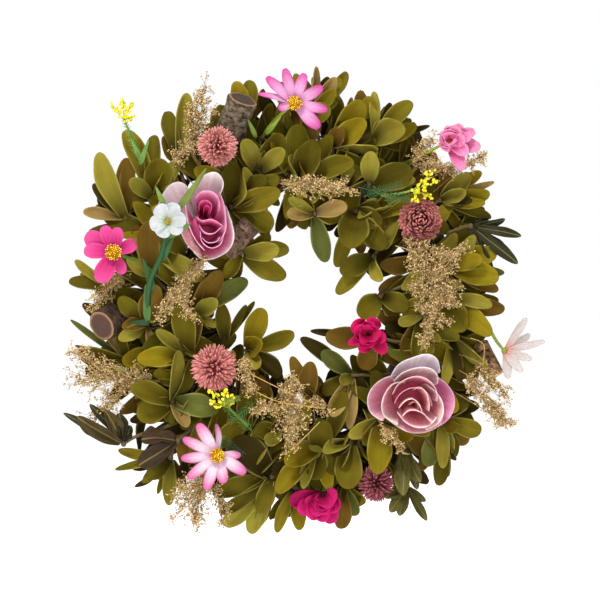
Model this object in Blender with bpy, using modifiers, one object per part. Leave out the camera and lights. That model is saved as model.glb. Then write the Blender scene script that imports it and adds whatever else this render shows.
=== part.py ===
"""A decorative vine wreath dressed with wood-chip leaves, silk flowers, dried sprays and cut branch pieces.

Run with: blender --background --python part.py
Metres, +Z up. The wreath hangs upright and faces -Y. The origin is where a hook bears on the ring's inner top.
"""

import math

import bmesh
import bpy
from mathutils import Matrix, Vector
from mathutils.bvhtree import BVHTree

MM = 0.001

# The vine ring
RING_RADIUS = 80 * MM  # centre line of the bundle of canes
CANE_RADIUS = 6.1 * MM
CANE_COUNT = 3
CANE_TWISTS = 5
CANE_POINTS = 42
HELIX_ALLOWANCE = 1.03  # keeps the straight segments of neighbouring canes apart
TIE_WIRE_RADIUS = 0.9 * MM
TIE_POINTS = 16
TIE_FLATS = 0.18 * MM  # how far the flats of a tie of so many points run inside its corners
TIE_ANGLES = (190, 314)  # degrees round the ring from its right side

# Fits
CLEARANCE = 0.4 * MM  # left between any two pieces

# Leaves, petals and sprays
LEAF_THICKNESS = 1.3 * MM
PETAL_THICKNESS = 0.9 * MM
TWIG_RADIUS = 1.7 * MM
TWIG_FOOT_SWELL = 1.2  # size of the ball at a twig's foot, against the twig
TWIG_FOOT_HEIGHT = 2.4  # millimetres above the front of the ring
CORE_RADIUS = 3.6 * MM
ROOT_INSET = 1.0 * MM  # a leaf or petal starts this far from its core's middle
LEAF_CUP = 0.10  # how far a leaf's edges rise, as a share of its width
LEAF_ROOT_SHARE = 0.35  # share of a leaf's length within which it may touch its neighbours on the stem
SPRAY_STEM_INSET = 0.12  # share of a spray's head that its stalk runs into
LOG_TAPER = 1.04  # a branch piece's hidden end against its cut end
BUD_OVERLAP = 0.2  # share of the last run of a yellow sprig's stem that its buds cover
BUD_FLATNESS = 0.8  # a bud's thickness against its width

# Flower stems, and how far the free ones bend toward the viewer, in degrees
STEM_RADIUS = 1.2 * MM
BEND_RANGE = 25
BEND_STEPS = 6

# Shapes turned on an axis, as shares of (radius, depth), from the back to the front
CENTRE_PROFILE = ((0, 0), (0.8, 0), (0.7, 0.35), (0, 0.55))
CENTRE_SIDES = 10
ROSE_PROFILE = (
    (0, 0), (0.30, 0.02), (0.70, 0.22), (0.95, 0.55), (1.0, 0.85), (0.92, 1.0), (0.80, 0.98),
    (0.72, 0.78), (0.50, 0.72), (0.42, 0.98), (0.22, 1.08), (0, 1.08),
)
ROSE_SIDES = 14
ROSE_STEM_SHARE = 0.25  # share of a rose's depth that its stem runs into

WELD_DISTANCE = 0.002 * MM
SMOOTH_ANGLE = math.radians(50)

# The lists below were drawn on a ring of this radius, so a larger ring carries them outward with it.
DRAWN_RING_RADIUS = 80 * MM

# Canes twisted round each other have their centre lines on a helix, which the slope of the twist widens.
STRAIGHT_HELIX = (2 * CANE_RADIUS + CLEARANCE) / (2 * math.sin(math.pi / CANE_COUNT))
HELIX_RADIUS = HELIX_ALLOWANCE * STRAIGHT_HELIX * math.hypot(1, CANE_TWISTS * STRAIGHT_HELIX / RING_RADIUS)
BUNDLE_RADIUS = HELIX_RADIUS + CANE_RADIUS
WREATH_CENTRE = Vector((0, 0, -(RING_RADIUS - BUNDLE_RADIUS)))
TOWARD_VIEWER = Vector((0, -1, 0))

# Places are (x, z) from the ring's middle and heights are above the front of the ring, in millimetres.
# Each leaf: tip x, tip z, tip height, width, roll about its length in degrees.
# Each stem: anchor on the ring, then its rosettes as (x, z, height, leaves).
LEAF_STEMS = (
    ((-38, 70), (
        (-43, 57, 8, ((-13, 66, 30, 15, 0), (-42, 85, 20, 13, 0), (-36, 80, 30, 14, 65),
                      (-14, 75, 20, 12, 0), (-18, 44, 22, 15, 0))),
        (-37, 29, 4, ((-14, 32, 18, 13, 0), (-8, 31, 8, 11, 0), (-10, 14, 6, 14, 0), (-48, 13, 8, 9, 0))),
        (-35, 108, 0, ((-41, 133, 6, 11, 0), (-32, 134, 2, 11, 0))),
    )),
    ((-2, 80), (
        (-27, 78, 8, ((-36, 97, 26, 12, 0), (-13, 101, 22, 16, 0), (-11, 91, 28, 11, 0))),
        (-3, 73, 8, ((8, 97, 24, 17, 0), (31, 83, 30, 14, -20), (-3, 107, 16, 15, 0), (-9, 85, 30, 12, 70))),
        (7, 53, 4, ((27, 57, 18, 11, 0), (-10, 52, 16, 10, 0), (-9, 62, 20, 7, 0), (14, 23, 8, 12, 0),
                    (12, 38, 4, 6, 0))),
    )),
    ((18, 78), (
        (5, 112, 4, ((17, 115, 20, 13, 0), (20, 127, 16, 9, 0), (20, 135, 12, 9, 0), (8, 142, 8, 7, 30),
                     (-5, 138, 2, 8, 0), (-15, 132, 6, 9, 0), (23, 135, 6, 8, 0), (27, 139, 4, 9, 40))),
        (18, 92, 6, ((38, 109, 20, 15, 0), (36, 121, 14, 16, 0), (45, 92, 26, 12, 60), (24, 105, 14, 11, 0))),
    )),
    ((40, 69), (
        (43, 96, 6, ((62, 103, 26, 17, 0), (66, 120, 14, 12, 0), (69, 106, 10, 11, 0), (39, 124, 8, 11, 0),
                     (43, 127, 4, 7, 0), (53, 120, 6, 6, 0), (77, 106, 6, 4, 0))),
        (40, 71, 8, ((65, 80, 28, 19, 0), (68, 73, 20, 10, 0), (41, 90, 26, 12, 0))),
    )),
    ((59, 54), (
        (32, 54, 6, ((27, 31, 24, 20, 0), (48, 46, 20, 14, 0), (50, 31, 16, 14, 0), (20, 20, 6, 10, 0))),
        (43, 27, 4, ((22, 17, 12, 14, 0), (20, 4, 6, 10, 0), (48, 12, 20, 10, 60))),
    )),
    ((66, 45), (
        (83, 61, 6, ((101, 77, 18, 11, 0), (98, 66, 24, 9, 0), (113, 65, 12, 12, 0), (108, 78, 10, 9, 0),
                     (102, 60, 26, 7, 0), (110, 59, 16, 8, 0), (114, 50, 8, 8, 0), (116, 72, 6, 5, 0))),
    )),
    ((78, 18), (
        (87, 21, 6, ((108, 25, 24, 12, 0), (118, 13, 20, 16, 0), (117, 29, 16, 15, 0), (103, 40, 22, 10, 45),
                     (118, 6, 14, 10, 0), (122, 17, 8, 7, 0))),
        (47, 3, 4, ((33, -9, 14, 16, 0), (64, -5, 14, 13, 0))),
    )),
    ((80, -4), (
        (85, 2, 8, ((96, -19, 28, 16, 0), (113, -21, 22, 14, 0), (114, -3, 22, 9, 0), (122, -5, 12, 12, 0))),
        (72, -8, 8, ((69, -38, 20, 16, 0), (58, -15, 22, 10, 50), (83, -24, 26, 8, 60))),
    )),
    ((75, -27), (
        (89, -21, 6, ((84, -52, 28, 8, 0), (103, -49, 18, 14, 0), (111, -40, 22, 9, 40))),
        (42, -22, 2, ((13, -21, 12, 15, 0), (37, -42, 10, 13, 0), (4, -18, 4, 5, 0))),
    )),
    ((66, -45), (
        (30, -45, 2, ((11, -30, 8, 11, 0), (-2, -22, 4, 10, 0), (22, -49, 14, 8, 0), (17, -70, 16, 11, 0),
                      (28, -78, 12, 8, 0))),
        (84, -71, 4, ((84, -101, 16, 9, 0), (74, -100, 12, 13, 0), (90, -92, 6, 7, 0), (92, -79, 14, 9, 0),
                      (108, -79, 4, 12, 0), (100, -58, 8, 12, 0), (82, -112, 6, 11, 0), (87, -107, 2, 9, 0))),
    )),
    ((42, -68), (
        (46, -72, 8, ((44, -104, 28, 16, 0), (27, -81, 26, 10, 0), (66, -83, 22, 12, 0), (77, -80, 16, 10, 0))),
        (28, -85, 8, ((26, -113, 26, 18, 0), (12, -91, 28, 10, 50))),
        (23, -110, 2, ((23, -138, 6, 12, 0), (33, -130, 2, 11, 0))),
    )),
    ((8, -80), (
        (8, -89, 8, ((-11, -98, 28, 15, 0), (14, -71, 24, 16, 0), (8, -108, 20, 15, 0), (0, -113, 22, 8, 0),
                     (-16, -116, 20, 13, 0), (16, -114, 16, 9, 0))),
        (3, -60, 3, ((5, -36, 12, 13, 0), (-7, -33, 8, 9, 0))),
    )),
    ((-14, -79), (
        (-5, -113, 0, ((-2, -139, 4, 10, 0), (-9, -130, 2, 7, 0), (-16, -140, 8, 8, 30))),
        (-19, -106, 6, ((-42, -82, 18, 20, 0), (-27, -128, 16, 12, 0), (-54, -116, 16, 12, 0),
                        (-51, -128, 12, 9, 0), (-48, -136, 8, 13, 0), (-32, -141, 6, 13, 0))),
        (-14, -78, 8, ((-21, -87, 20, 10, 0), (-30, -79, 14, 12, 0))),
    )),
    ((-38, -70), (
        (-34, -30, 3, ((-24, -24, 24, 14, 0), (-27, -41, 22, 10, 0), (-5, -19, 10, 12, 0), (-24, -4, 8, 14, 0),
                       (-13, -46, 6, 12, 0))),
        (-52, -84, 4, ((-50, -57, 12, 18, 0), (-64, -80, 10, 10, 0))),
    )),
    ((-66, -50), (
        (-79, -61, 6, ((-75, -29, 28, 12, 65), (-69, -76, 22, 9, 0), (-100, -69, 20, 16, 0),
                       (-104, -52, 18, 14, 0), (-50, -66, 16, 15, 0))),
        (-80, -95, 2, ((-93, -107, 10, 12, 0), (-97, -110, 6, 6, 0), (-81, -124, 6, 9, 0), (-112, -90, 6, 7, 0),
                       (-114, -102, 4, 5, 0), (-88, -117, 4, 4, 0))),
    )),
    ((-75, -28), (
        (-68, -33, 8, ((-88, -17, 28, 8, 0), (-100, -35, 24, 13, 0), (-73, 0, 22, 15, 0))),
        (-104, -38, 2, ((-119, -18, 14, 8, 0), (-118, -45, 12, 8, 0), (-136, -30, 8, 13, 0), (-141, -11, 4, 4, 0))),
        (-47, -25, 3, ((-49, -1, 12, 10, 0), (-34, -2, 6, 5, 0), (-29, 0, 2, 4, 0))),
    )),
    ((-80, 4), (
        (-94, -14, 6, ((-87, 10, 22, 15, 0), (-110, 3, 20, 12, 0), (-111, -23, 18, 9, 0), (-109, -16, 14, 9, 0),
                       (-91, -31, 14, 6, 0))),
        (-66, -8, 6, ((-51, 1, 20, 11, 0), (-49, 19, 18, 14, 0), (-52, -16, 14, 6, 0), (-33, 13, 8, 13, 0))),
        (-90, 15, 4, ((-106, 26, 20, 9, 0), (-91, 53, 14, 16, 0), (-102, 46, 10, 12, 0))),
        (-117, 8, 0, ((-138, 25, 4, 6, 0), (-142, 12, 2, 9, 0))),
    )),
    ((-66, 45), (
        (-107, 50, 2, ((-123, 90, 16, 14, 0), (-127, 71, 8, 9, 0), (-133, 54, 8, 8, 0), (-106, 86, 6, 10, 0))),
        (-90, 62, 6, ((-104, 73, 24, 10, 0), (-86, 86, 24, 18, 0), (-74, 84, 16, 12, 0), (-108, 104, 12, 13, 0),
                      (-90, 101, 6, 11, 0))),
        (-75, 86, 2, ((-60, 80, 8, 13, 0), (-82, 115, 4, 11, 0), (-70, 126, 6, 11, 0))),
    )),
)

# Changes tried on a leaf, first to last, until it clears every other piece: tip height, then length.
TIP_LIFTS = (0, 3, -3, 6, -6, 9, -9, 12, -12, 16, -16, 20, 25, 30)
LENGTH_SHARES = (1.0, 0.88, 0.76, 0.64, 0.52, 0.42)

# Stems of darker foliage, listed as the leaf stems are.
DARK_SPRIGS = (
    ("dark_sprig_right", (72, 38), (
        (101, 45, 14, ((132, 39, 14, 9, 0), (130, 22, 12, 12, 0), (112, 49, 12, 9, 0), (122, 33, 6, 9, 0))),
    )),
    ("dark_sprig_lower_left", (-51, -61), (
        (-108, -86, 14, ((-136, -69, 20, 15, 0), (-145, -67, 14, 8, 0), (-111, -67, 14, 11, 0))),
        (-75, -84, 17, ((-99, -99, 20, 18, 0),)),
    )),
    ("grey_sprig_bottom_right", (51, -65), (
        (62, -88, 6, ((60, -117, 22, 15, 0), (69, -114, 12, 9, 0))),
        (63, -112, 4, ((52, -127, 16, 11, 0), (58, -130, 8, 11, 0), (75, -133, 8, 8, 0))),
    )),
)

# Bare cores that a free stem bends at: the place in the list of the leaf stem that carries it, and where it is.
HINGE_CORES = {
    "top_daisy": (1, (-25, 98, 6)),
    "upper_right_cosmos": (3, (61, 83, 6)),
    "right_daisy": (7, (105, -8, 4)),
    "yellow_sprig_upper_left": (17, (-93, 79, 2)),
}

# Silk flowers: middle, core radius, then petals as (tip x, tip z, tip height, width, roll).
FLOWERS = {
    "top_daisy": ((-5, 118, 31), 5.0, (
        (-27, 124, 27, 5, 40), (-22, 134, 30, 6, 0), (-11, 139, 33, 6, 0), (1, 136, 34, 6.5, 0),
        (12, 128, 34, 6.5, 0), (15, 114, 32, 6, 0), (10, 103, 33, 7.5, 0), (-15, 115, 29, 5, 0))),
    "left_cosmos": ((-113, 29, 32), 5.5, (
        (-130, 40, 30, 11, 0), (-119, 45, 32, 8, 0), (-110, 44, 34, 8, 0), (-99, 35, 30, 8, 0),
        (-107, 16, 32, 7, 0), (-122, 11, 36, 11, 0), (-131, 30, 32, 9, 0))),
    "lower_left_daisy": ((-51, -92, 31), 5.0, (
        (-63, -73, 31, 7, 0), (-72, -82, 31, 6, 0), (-73, -94, 32, 6, 0), (-69, -106, 33, 6, 0),
        (-58, -113, 34, 6.5, 0), (-47, -109, 34, 7, 0), (-34, -103, 33, 7, 0), (-37, -92, 31, 5, 0),
        (-52, -73, 33, 5, 60))),
    "upper_right_cosmos": ((87, 96, 28), 4.0, (
        (103, 102, 26, 7, 0), (106, 91, 32, 9, 0), (96, 78, 32, 8, 0), (92, 104, 35, 10, 0), (82, 100, 35, 8, 0),
        (83, 90, 34, 8, 0))),
    "right_daisy": ((121, -30, 20), 3.5, (
        (134, -10, 22, 5, 0), (145, -24, 26, 4.5, 0), (137, -35, 28, 5, 0), (131, -43, 28, 5.5, 0),
        (123, -47, 22, 5.5, 0), (130, -36, 10, 5, 0), (137, -20, 10, 4.5, 0))),
    "white_blossom": ((-80, 47, 48), 3.0, (
        (-91, 45, 47, 9, 0), (-86, 57, 47, 9, 0), (-75, 58, 49, 9, 0), (-69, 49, 51, 9, 0), (-72, 40, 51, 8, 0),
        (-85, 38, 48, 9, 0))),
    "magenta_bloom_inner": ((39, -20, 24), 4.0, (
        (30, -12, 28, 10, 0), (44, -10, 26, 9, 0), (50, -31, 28, 8, 0), (35, -31, 28, 8, 0), (27, -26, 26, 5, 0))),
    "magenta_bloom_bottom": ((12, -117, 14), 4.0, (
        (-8, -121, 14, 11, 0), (-3, -127, 18, 10, 0), (4, -131, 20, 10, 0), (11, -133, 18, 10, 0),
        (18, -134, 14, 10, 0))),
}
# Where the stems of the glued flowers meet the ring.
FIXED_FLOWER_FEET = {
    "left_cosmos": (-84, 22, 1),
    "lower_left_daisy": (-46, -66, 1),
    "white_blossom": (-85, 31, 1),
    "magenta_bloom_inner": (64, -34, 1),
    "magenta_bloom_bottom": (14, -90, 1),
}
# Places that each bending stem passes between its hinge core and its flower.
BENDING_STEMS = {
    "top_daisy": ((-20, 105, 14), (-12, 113, 24)),
    "upper_right_cosmos": ((70, 87, 14), (80, 92, 23)),
    "right_daisy": ((111, -15, 10), (117, -25, 16)),
}
FLOWER_CENTRES = ("top_daisy", "left_cosmos", "lower_left_daisy")

# Roses: foot on the ring, back of the cup, point that the cup opens toward, outer radius, depth.
ROSES = {
    "pink_rose": ((-58, 50, 1), (-62, 38, 16), (-53, 66, 50), 18.5, 27.0),
    "pale_rose": ((62, -50, 1), (64, -54, 14), (66, -56, 50), 24.0, 28.0),
}

# Globe flowers: foot on the ring, middle, radius.
GLOBES = {
    "globe_top": ((-47, 72, 1), (-51, 92, 36), 12.5),
    "globe_right": ((60, 47, 1), (70, 48, 30), 13.5),
    "globe_left": ((-56, -44, 1), (-53, -40, 26), 14.5),
    "globe_bottom": ((43, -81, 1), (44, -110, 12), 11.5),
}

# Dried sprays: foot on the ring, start of the head, tip of the head, width, thickness.
SPRAYS = {
    "dried_spray_top": ((-56, 66, 1), (-68, 92, 12), (-58, 125, 14), 20, 9),
    "dried_spray_centre_top": ((-8, 74, 1), (-12, 70, 38), (30, 66, 38), 15, 9),
    "dried_spray_upper_right": ((62, 56, 1), (68, 82, 16), (94, 78, 16), 16, 9),
    "dried_spray_right": ((68, 28, 1), (63, 30, 35), (92, 2, 36), 28, 10),
    "dried_spray_inner_left": ((-72, 18, 1), (-58, 26, 32), (-88, -13, 34), 15, 8),
    "dried_spray_lower_left": ((-80, -44, 1), (-90, -48, 14), (-142, -46, 14), 26, 9),
    "dried_spray_bottom_centre": ((-8, -76, 1), (-6, -44, 32), (-8, -92, 36), 24, 10),
}

# Branch pieces: middle of the hidden end, middle of the cut end, radius.
LOGS = {
    "branch_piece_top": ((-46, 96, 9), (-36, 121, 21), 9.5),
    "branch_piece_left": ((-112, -9, 6), (-121, -15, 18), 10.0),
    "branch_piece_inner_left": ((-31, 46, 17), (-47, 29, 17), 7.0),
    "branch_piece_right": ((106, -26, 8), (116, -45, 12), 6.0),
}

# Yellow sprigs: route of the stem, then the buds at its end as (tip x, tip z, tip height, width).
YELLOW_SPRIGS = {
    "yellow_sprig_upper_left": (((-99, 90, 12), (-105, 103, 17), (-108, 110, 20)), (
        (-115, 118, 21, 4), (-108, 121, 22, 6), (-103, 119, 21, 4), (-102, 111, 22, 4))),
    "yellow_sprig_upper_right": (((46, 63, 34), (58, 64, 36), (68, 67, 36)), (
        (77, 77, 38, 6), (80, 71, 38, 6), (76, 62, 38, 6), (67, 60, 43, 5))),
    "yellow_sprig_lower_left": (((-33, -75, 24), (-40, -68, 28), (-45, -63, 30)), (
        (-55, -54, 38, 5), (-47, -53, 38, 5), (-56, -60, 36, 5), (-42, -56, 38, 4))),
}

# Base colours of the kinds of material.
COLOURS = {
    "cane": (0.16, 0.09, 0.05),
    "wire": (0.10, 0.09, 0.06),
    "bark": (0.20, 0.13, 0.09),
    "leaf": (0.16, 0.15, 0.03),
    "dark_leaf": (0.05, 0.05, 0.03),
    "petal_pink": (0.75, 0.30, 0.50),
    "petal_hot": (0.62, 0.03, 0.25),
    "petal_white": (0.80, 0.74, 0.72),
    "pollen": (0.80, 0.45, 0.03),
    "stem_green": (0.20, 0.28, 0.04),
    "globe": (0.50, 0.18, 0.17),
    "straw": (0.48, 0.33, 0.17),
    "yellow": (0.75, 0.62, 0.03),
}
PETAL_COLOURS = {
    "pink_rose": "petal_pink",
    "pale_rose": "petal_white",
    "top_daisy": "petal_pink",
    "left_cosmos": "petal_hot",
    "lower_left_daisy": "petal_pink",
    "upper_right_cosmos": "petal_hot",
    "right_daisy": "petal_white",
    "white_blossom": "petal_white",
    "magenta_bloom_inner": "petal_hot",
    "magenta_bloom_bottom": "petal_hot",
}


def wreath_point(place):
    """World place of (x, z, height), in millimetres from the ring's middle and above the front of the ring."""
    x, z, height = place
    flat = Vector((x, 0, z)) * MM
    flat += flat.normalized() * (RING_RADIUS - DRAWN_RING_RADIUS)
    return WREATH_CENTRE + flat + TOWARD_VIEWER * (BUNDLE_RADIUS + height * MM)


def clear_scene():
    for obj in list(bpy.data.objects):
        bpy.data.objects.remove(obj, do_unlink=True)


def new_collection(name):
    collection = bpy.data.collections.new(name)
    bpy.context.scene.collection.children.link(collection)
    return collection


def material(name, colour):
    found = bpy.data.materials.new(name)
    found.use_nodes = True
    shader = found.node_tree.nodes["Principled BSDF"]
    shader.inputs["Base Color"].default_value = (*COLOURS[colour], 1)
    shader.inputs["Roughness"].default_value = 0.8
    shader.inputs["Metallic"].default_value = 0.6 if colour == "wire" else 0.0
    return found


def facing(along, roll):
    """(normal, side) of a blade that lies along a direction and turns its broad side to the viewer, then rolls."""
    normal = TOWARD_VIEWER - along * TOWARD_VIEWER.dot(along)
    normal = Matrix.Rotation(math.radians(roll), 3, along) @ normal.normalized()
    return normal, normal.cross(along)


def blade(base, tip, width, thickness, roll=0.0, cup=0.0, taper=0.45, sides=4, rings=3, start=0.0):
    """A leaf or petal: a sphere drawn out from base to tip, broader toward the tip, its edges raised by cup."""
    along = (tip - base).normalized()
    length = (tip - base).length
    normal, side = facing(along, roll)
    bm = bmesh.new()
    bmesh.ops.create_uvsphere(bm, u_segments=sides, v_segments=rings, radius=1)
    for vert in bm.verts:
        x, y, z = vert.co
        share = start + (1 - start) * (z + 1) / 2
        across = x * width / 2 * (taper + 2 * (1 - taper) * share)
        rise = y * thickness / 2 + cup * width * x * x
        vert.co = base + along * (length * share) + side * across + normal * rise
    return bm


def ball(middle, radius, sides=5, rings=3):
    bm = bmesh.new()
    bmesh.ops.create_uvsphere(
        bm, u_segments=sides, v_segments=rings, radius=radius, matrix=Matrix.Translation(middle)
    )
    return bm


def rod(start, end, start_radius, end_radius, sides=4):
    """A tapered round rod between two points."""
    along = end - start
    turn = along.to_track_quat("Z", "Y").to_matrix().to_4x4()
    bm = bmesh.new()
    bmesh.ops.create_cone(
        bm, cap_ends=True, segments=sides, radius1=start_radius, radius2=end_radius, depth=along.length,
        matrix=Matrix.Translation((start + end) / 2) @ turn,
    )
    return bm


def turned(profile, start, end, steps):
    """A Screw of a (radius, distance) profile in metres, its axis laid from start toward end."""
    mesh = bpy.data.meshes.new("profile")
    points = [(radius, 0, distance) for radius, distance in profile]
    mesh.from_pydata(points, [(i, i + 1) for i in range(len(points) - 1)], [])
    obj = bpy.data.objects.new("profile", mesh)
    bpy.context.scene.collection.objects.link(obj)
    screw = obj.modifiers.new("Turn", "SCREW")
    screw.steps = steps
    screw.render_steps = steps
    screw.use_merge_vertices = True
    screw.merge_threshold = 0.00001
    bm = evaluated_bmesh(obj)
    turn = (end - start).to_track_quat("Z", "Y").to_matrix().to_4x4()
    bmesh.ops.transform(bm, matrix=Matrix.Translation(start) @ turn, verts=bm.verts)
    weld(bm)
    return bm


def tube(points, radius, resolution=1, cyclic=False):
    """A round wire or cane through the points, with filled caps where it has ends."""
    curve = bpy.data.curves.new("route", "CURVE")
    curve.dimensions = "3D"
    curve.bevel_depth = radius
    curve.bevel_resolution = resolution
    curve.use_fill_caps = not cyclic
    spline = curve.splines.new("POLY")
    spline.points.add(len(points) - 1)
    for point, place in zip(spline.points, points):
        point.co = (*place, 1)
    spline.use_cyclic_u = cyclic
    obj = bpy.data.objects.new("route", curve)
    bpy.context.scene.collection.objects.link(obj)
    bm = evaluated_bmesh(obj)
    weld(bm)
    return bm


def evaluated_bmesh(obj):
    """The object's mesh with its modifiers. The object itself is removed."""
    bpy.context.view_layer.update()
    graph = bpy.context.evaluated_depsgraph_get()
    mesh = bpy.data.meshes.new_from_object(obj.evaluated_get(graph))
    bm = bmesh.new()
    bm.from_mesh(mesh)
    bpy.data.meshes.remove(mesh)
    bpy.data.objects.remove(obj)
    return bm


def weld(bm):
    """Joins a swept shape's caps and seams, and turns its faces outward."""
    bmesh.ops.remove_doubles(bm, verts=bm.verts, dist=WELD_DISTANCE)
    bmesh.ops.recalc_face_normals(bm, faces=bm.faces)


def object_from(bm, name, collection):
    mesh = bpy.data.meshes.new(name)
    bm.to_mesh(mesh)
    obj = bpy.data.objects.new(name, mesh)
    collection.objects.link(obj)
    return obj


def union(pieces):
    """One closed solid from overlapping closed ones."""
    first, *others = [object_from(piece, "joining", bpy.context.scene.collection) for piece in pieces]
    for other in others:
        join = first.modifiers.new("Join", "BOOLEAN")
        join.operation = "UNION"
        join.object = other
        join.solver = "EXACT"
    joined = evaluated_bmesh(first)
    for other in others:
        bpy.data.objects.remove(other)
    return joined


class Wreath:
    """The collection of finished pieces, with a search tree of each so that later ones can keep clear of them."""

    def __init__(self):
        self.collection = new_collection("flower_wreath")
        self.trees = {}

    def add(self, name, bm, colour, hinge=None):
        """Keeps bm as the named piece. A piece with a hinge (pivot, axis) has its origin at the pivot."""
        self.trees[name] = BVHTree.FromBMesh(bm)
        pivot = Vector((0, 0, 0))
        if hinge is not None:
            pivot, axis = hinge
            self.add_sweep(name, bm, pivot, axis)
        bmesh.ops.translate(bm, verts=bm.verts, vec=-pivot)
        obj = object_from(bm, name, self.collection)
        obj.data.shade_smooth()
        obj.data.set_sharp_from_angle(angle=SMOOTH_ANGLE)
        obj.location = pivot
        obj.data.materials.append(material(name, colour))
        bm.free()

    def add_sweep(self, name, bm, pivot, axis):
        """Search trees of a moving piece along its range, so that leaves stay out of its way."""
        for step in range(1, BEND_STEPS + 1):
            turned_copy = bm.copy()
            turn = Matrix.Rotation(math.radians(BEND_RANGE * step / BEND_STEPS), 3, axis)
            bmesh.ops.rotate(turned_copy, cent=pivot, matrix=turn, verts=turned_copy.verts)
            self.trees[f"{name} {step}"] = BVHTree.FromBMesh(turned_copy)
            turned_copy.free()

    def clear_of(self, bm):
        tree = BVHTree.FromBMesh(bm)
        return not any(tree.overlap(other) for other in self.trees.values())


def cane_route(strand):
    """Closed centre line of one cane, twisted with the others round the ring."""
    points = []
    for index in range(CANE_POINTS):
        around = 2 * math.pi * index / CANE_POINTS
        twist = CANE_TWISTS * around + 2 * math.pi * strand / CANE_COUNT
        radius = RING_RADIUS + HELIX_RADIUS * math.cos(twist)
        depth = HELIX_RADIUS * math.sin(twist)
        points.append(WREATH_CENTRE + Vector((radius * math.cos(around), depth, radius * math.sin(around))))
    return points


def add_ring(wreath):
    for strand in range(CANE_COUNT):
        wreath.add(f"vine_cane_{strand + 1}", tube(cane_route(strand), CANE_RADIUS, cyclic=True), "cane")
    for number, angle in enumerate(TIE_ANGLES, 1):
        wreath.add(f"binding_wire_{number}", tie(math.radians(angle)), "wire")


def tie(angle):
    """A ring of wire round the bundle at this angle of the wreath."""
    outward = Vector((math.cos(angle), 0, math.sin(angle)))
    middle = WREATH_CENTRE + outward * RING_RADIUS
    radius = BUNDLE_RADIUS + CLEARANCE + TIE_WIRE_RADIUS + TIE_FLATS
    points = []
    for index in range(TIE_POINTS):
        turn = 2 * math.pi * index / TIE_POINTS
        points.append(middle + (outward * math.cos(turn) + TOWARD_VIEWER * math.sin(turn)) * radius)
    return tube(points, TIE_WIRE_RADIUS, resolution=0, cyclic=True)


def petal_ring(middle, petals, core_radius):
    """Petals joined on a round core. Each petal runs from the core's middle to its own tip."""
    pieces = [ball(middle, core_radius * MM, sides=6, rings=4)]
    for tip_x, tip_z, tip_height, width, roll in petals:
        tip = wreath_point((tip_x, tip_z, tip_height))
        base = middle + (tip - middle).normalized() * ROOT_INSET
        pieces.append(blade(base, tip, width * MM, PETAL_THICKNESS, roll))
    return pieces


def hinge_of(name, head):
    """(pivot, axis) of a stem that bends: positive angles bring the head toward the viewer. None for a fixed one."""
    if name not in HINGE_CORES:
        return None
    pivot = wreath_point(HINGE_CORES[name][1])
    return pivot, (head - pivot).cross(TOWARD_VIEWER).normalized()


def add_flowers(wreath):
    for name, (place, core_radius, petals) in FLOWERS.items():
        middle = wreath_point(place)
        pieces = petal_ring(middle, petals, core_radius)
        hinge = hinge_of(name, middle)
        if name in FIXED_FLOWER_FEET:
            pieces.append(rod(middle, wreath_point(FIXED_FLOWER_FEET[name]), STEM_RADIUS, STEM_RADIUS))
        wreath.add(f"{name}_petals", union(pieces), PETAL_COLOURS[name], hinge)
        if name in FLOWER_CENTRES:
            add_centre(wreath, name, middle, core_radius * MM, hinge)
        if hinge is not None:
            add_bending_stem(wreath, name, hinge, middle, core_radius * MM)


def add_centre(wreath, name, middle, core_radius, hinge):
    """The stamens' button, which sits on the front of the petals' core."""
    front = middle + TOWARD_VIEWER * (core_radius + CLEARANCE)
    profile = [(share * core_radius, rise * core_radius) for share, rise in CENTRE_PROFILE]
    button = turned(profile, front, front + TOWARD_VIEWER, CENTRE_SIDES)
    wreath.add(f"{name}_centre", button, "pollen", hinge)


def add_bending_stem(wreath, name, hinge, middle, core_radius):
    """A wire stem from just clear of its hinge core to just behind the flower."""
    pivot = hinge[0]
    bends = [wreath_point(place) for place in BENDING_STEMS[name]]
    start = pivot + (bends[0] - pivot).normalized() * (CORE_RADIUS + CLEARANCE)
    end = middle + (bends[-1] - middle).normalized() * (core_radius + CLEARANCE)
    wreath.add(f"{name}_stem", tube([start, *bends, end], STEM_RADIUS), "stem_green", hinge)


def add_roses(wreath):
    for name, (foot, back, front, radius, depth) in ROSES.items():
        start = wreath_point(back)
        end = wreath_point(front)
        profile = [(share * radius * MM, rise * depth * MM) for share, rise in ROSE_PROFILE]
        cup = turned(profile, start, end, ROSE_SIDES)
        inside = start + (end - start).normalized() * depth * MM * ROSE_STEM_SHARE
        stem = rod(wreath_point(foot), inside, STEM_RADIUS, STEM_RADIUS)
        wreath.add(f"{name}_bloom", union([cup, stem]), PETAL_COLOURS[name])


def add_globes(wreath):
    for name, (foot, place, radius) in GLOBES.items():
        middle = wreath_point(place)
        stem = rod(wreath_point(foot), middle, STEM_RADIUS, STEM_RADIUS)
        wreath.add(name, union([ball(middle, radius * MM, sides=12, rings=8), stem]), "globe")


def add_sprays(wreath):
    for name, (foot, start, tip, width, thickness) in SPRAYS.items():
        start_place = wreath_point(start)
        tip_place = wreath_point(tip)
        head = blade(start_place, tip_place, width * MM, thickness * MM, taper=0.9, sides=8, rings=7)
        inside = start_place.lerp(tip_place, SPRAY_STEM_INSET)
        stalk = rod(wreath_point(foot), inside, STEM_RADIUS, STEM_RADIUS)
        wreath.add(name, union([head, stalk]), "straw")


def add_logs(wreath):
    for name, (hidden, cut, radius) in LOGS.items():
        piece = rod(wreath_point(hidden), wreath_point(cut), radius * MM * LOG_TAPER, radius * MM, sides=14)
        wreath.add(name, piece, "bark")


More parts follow.
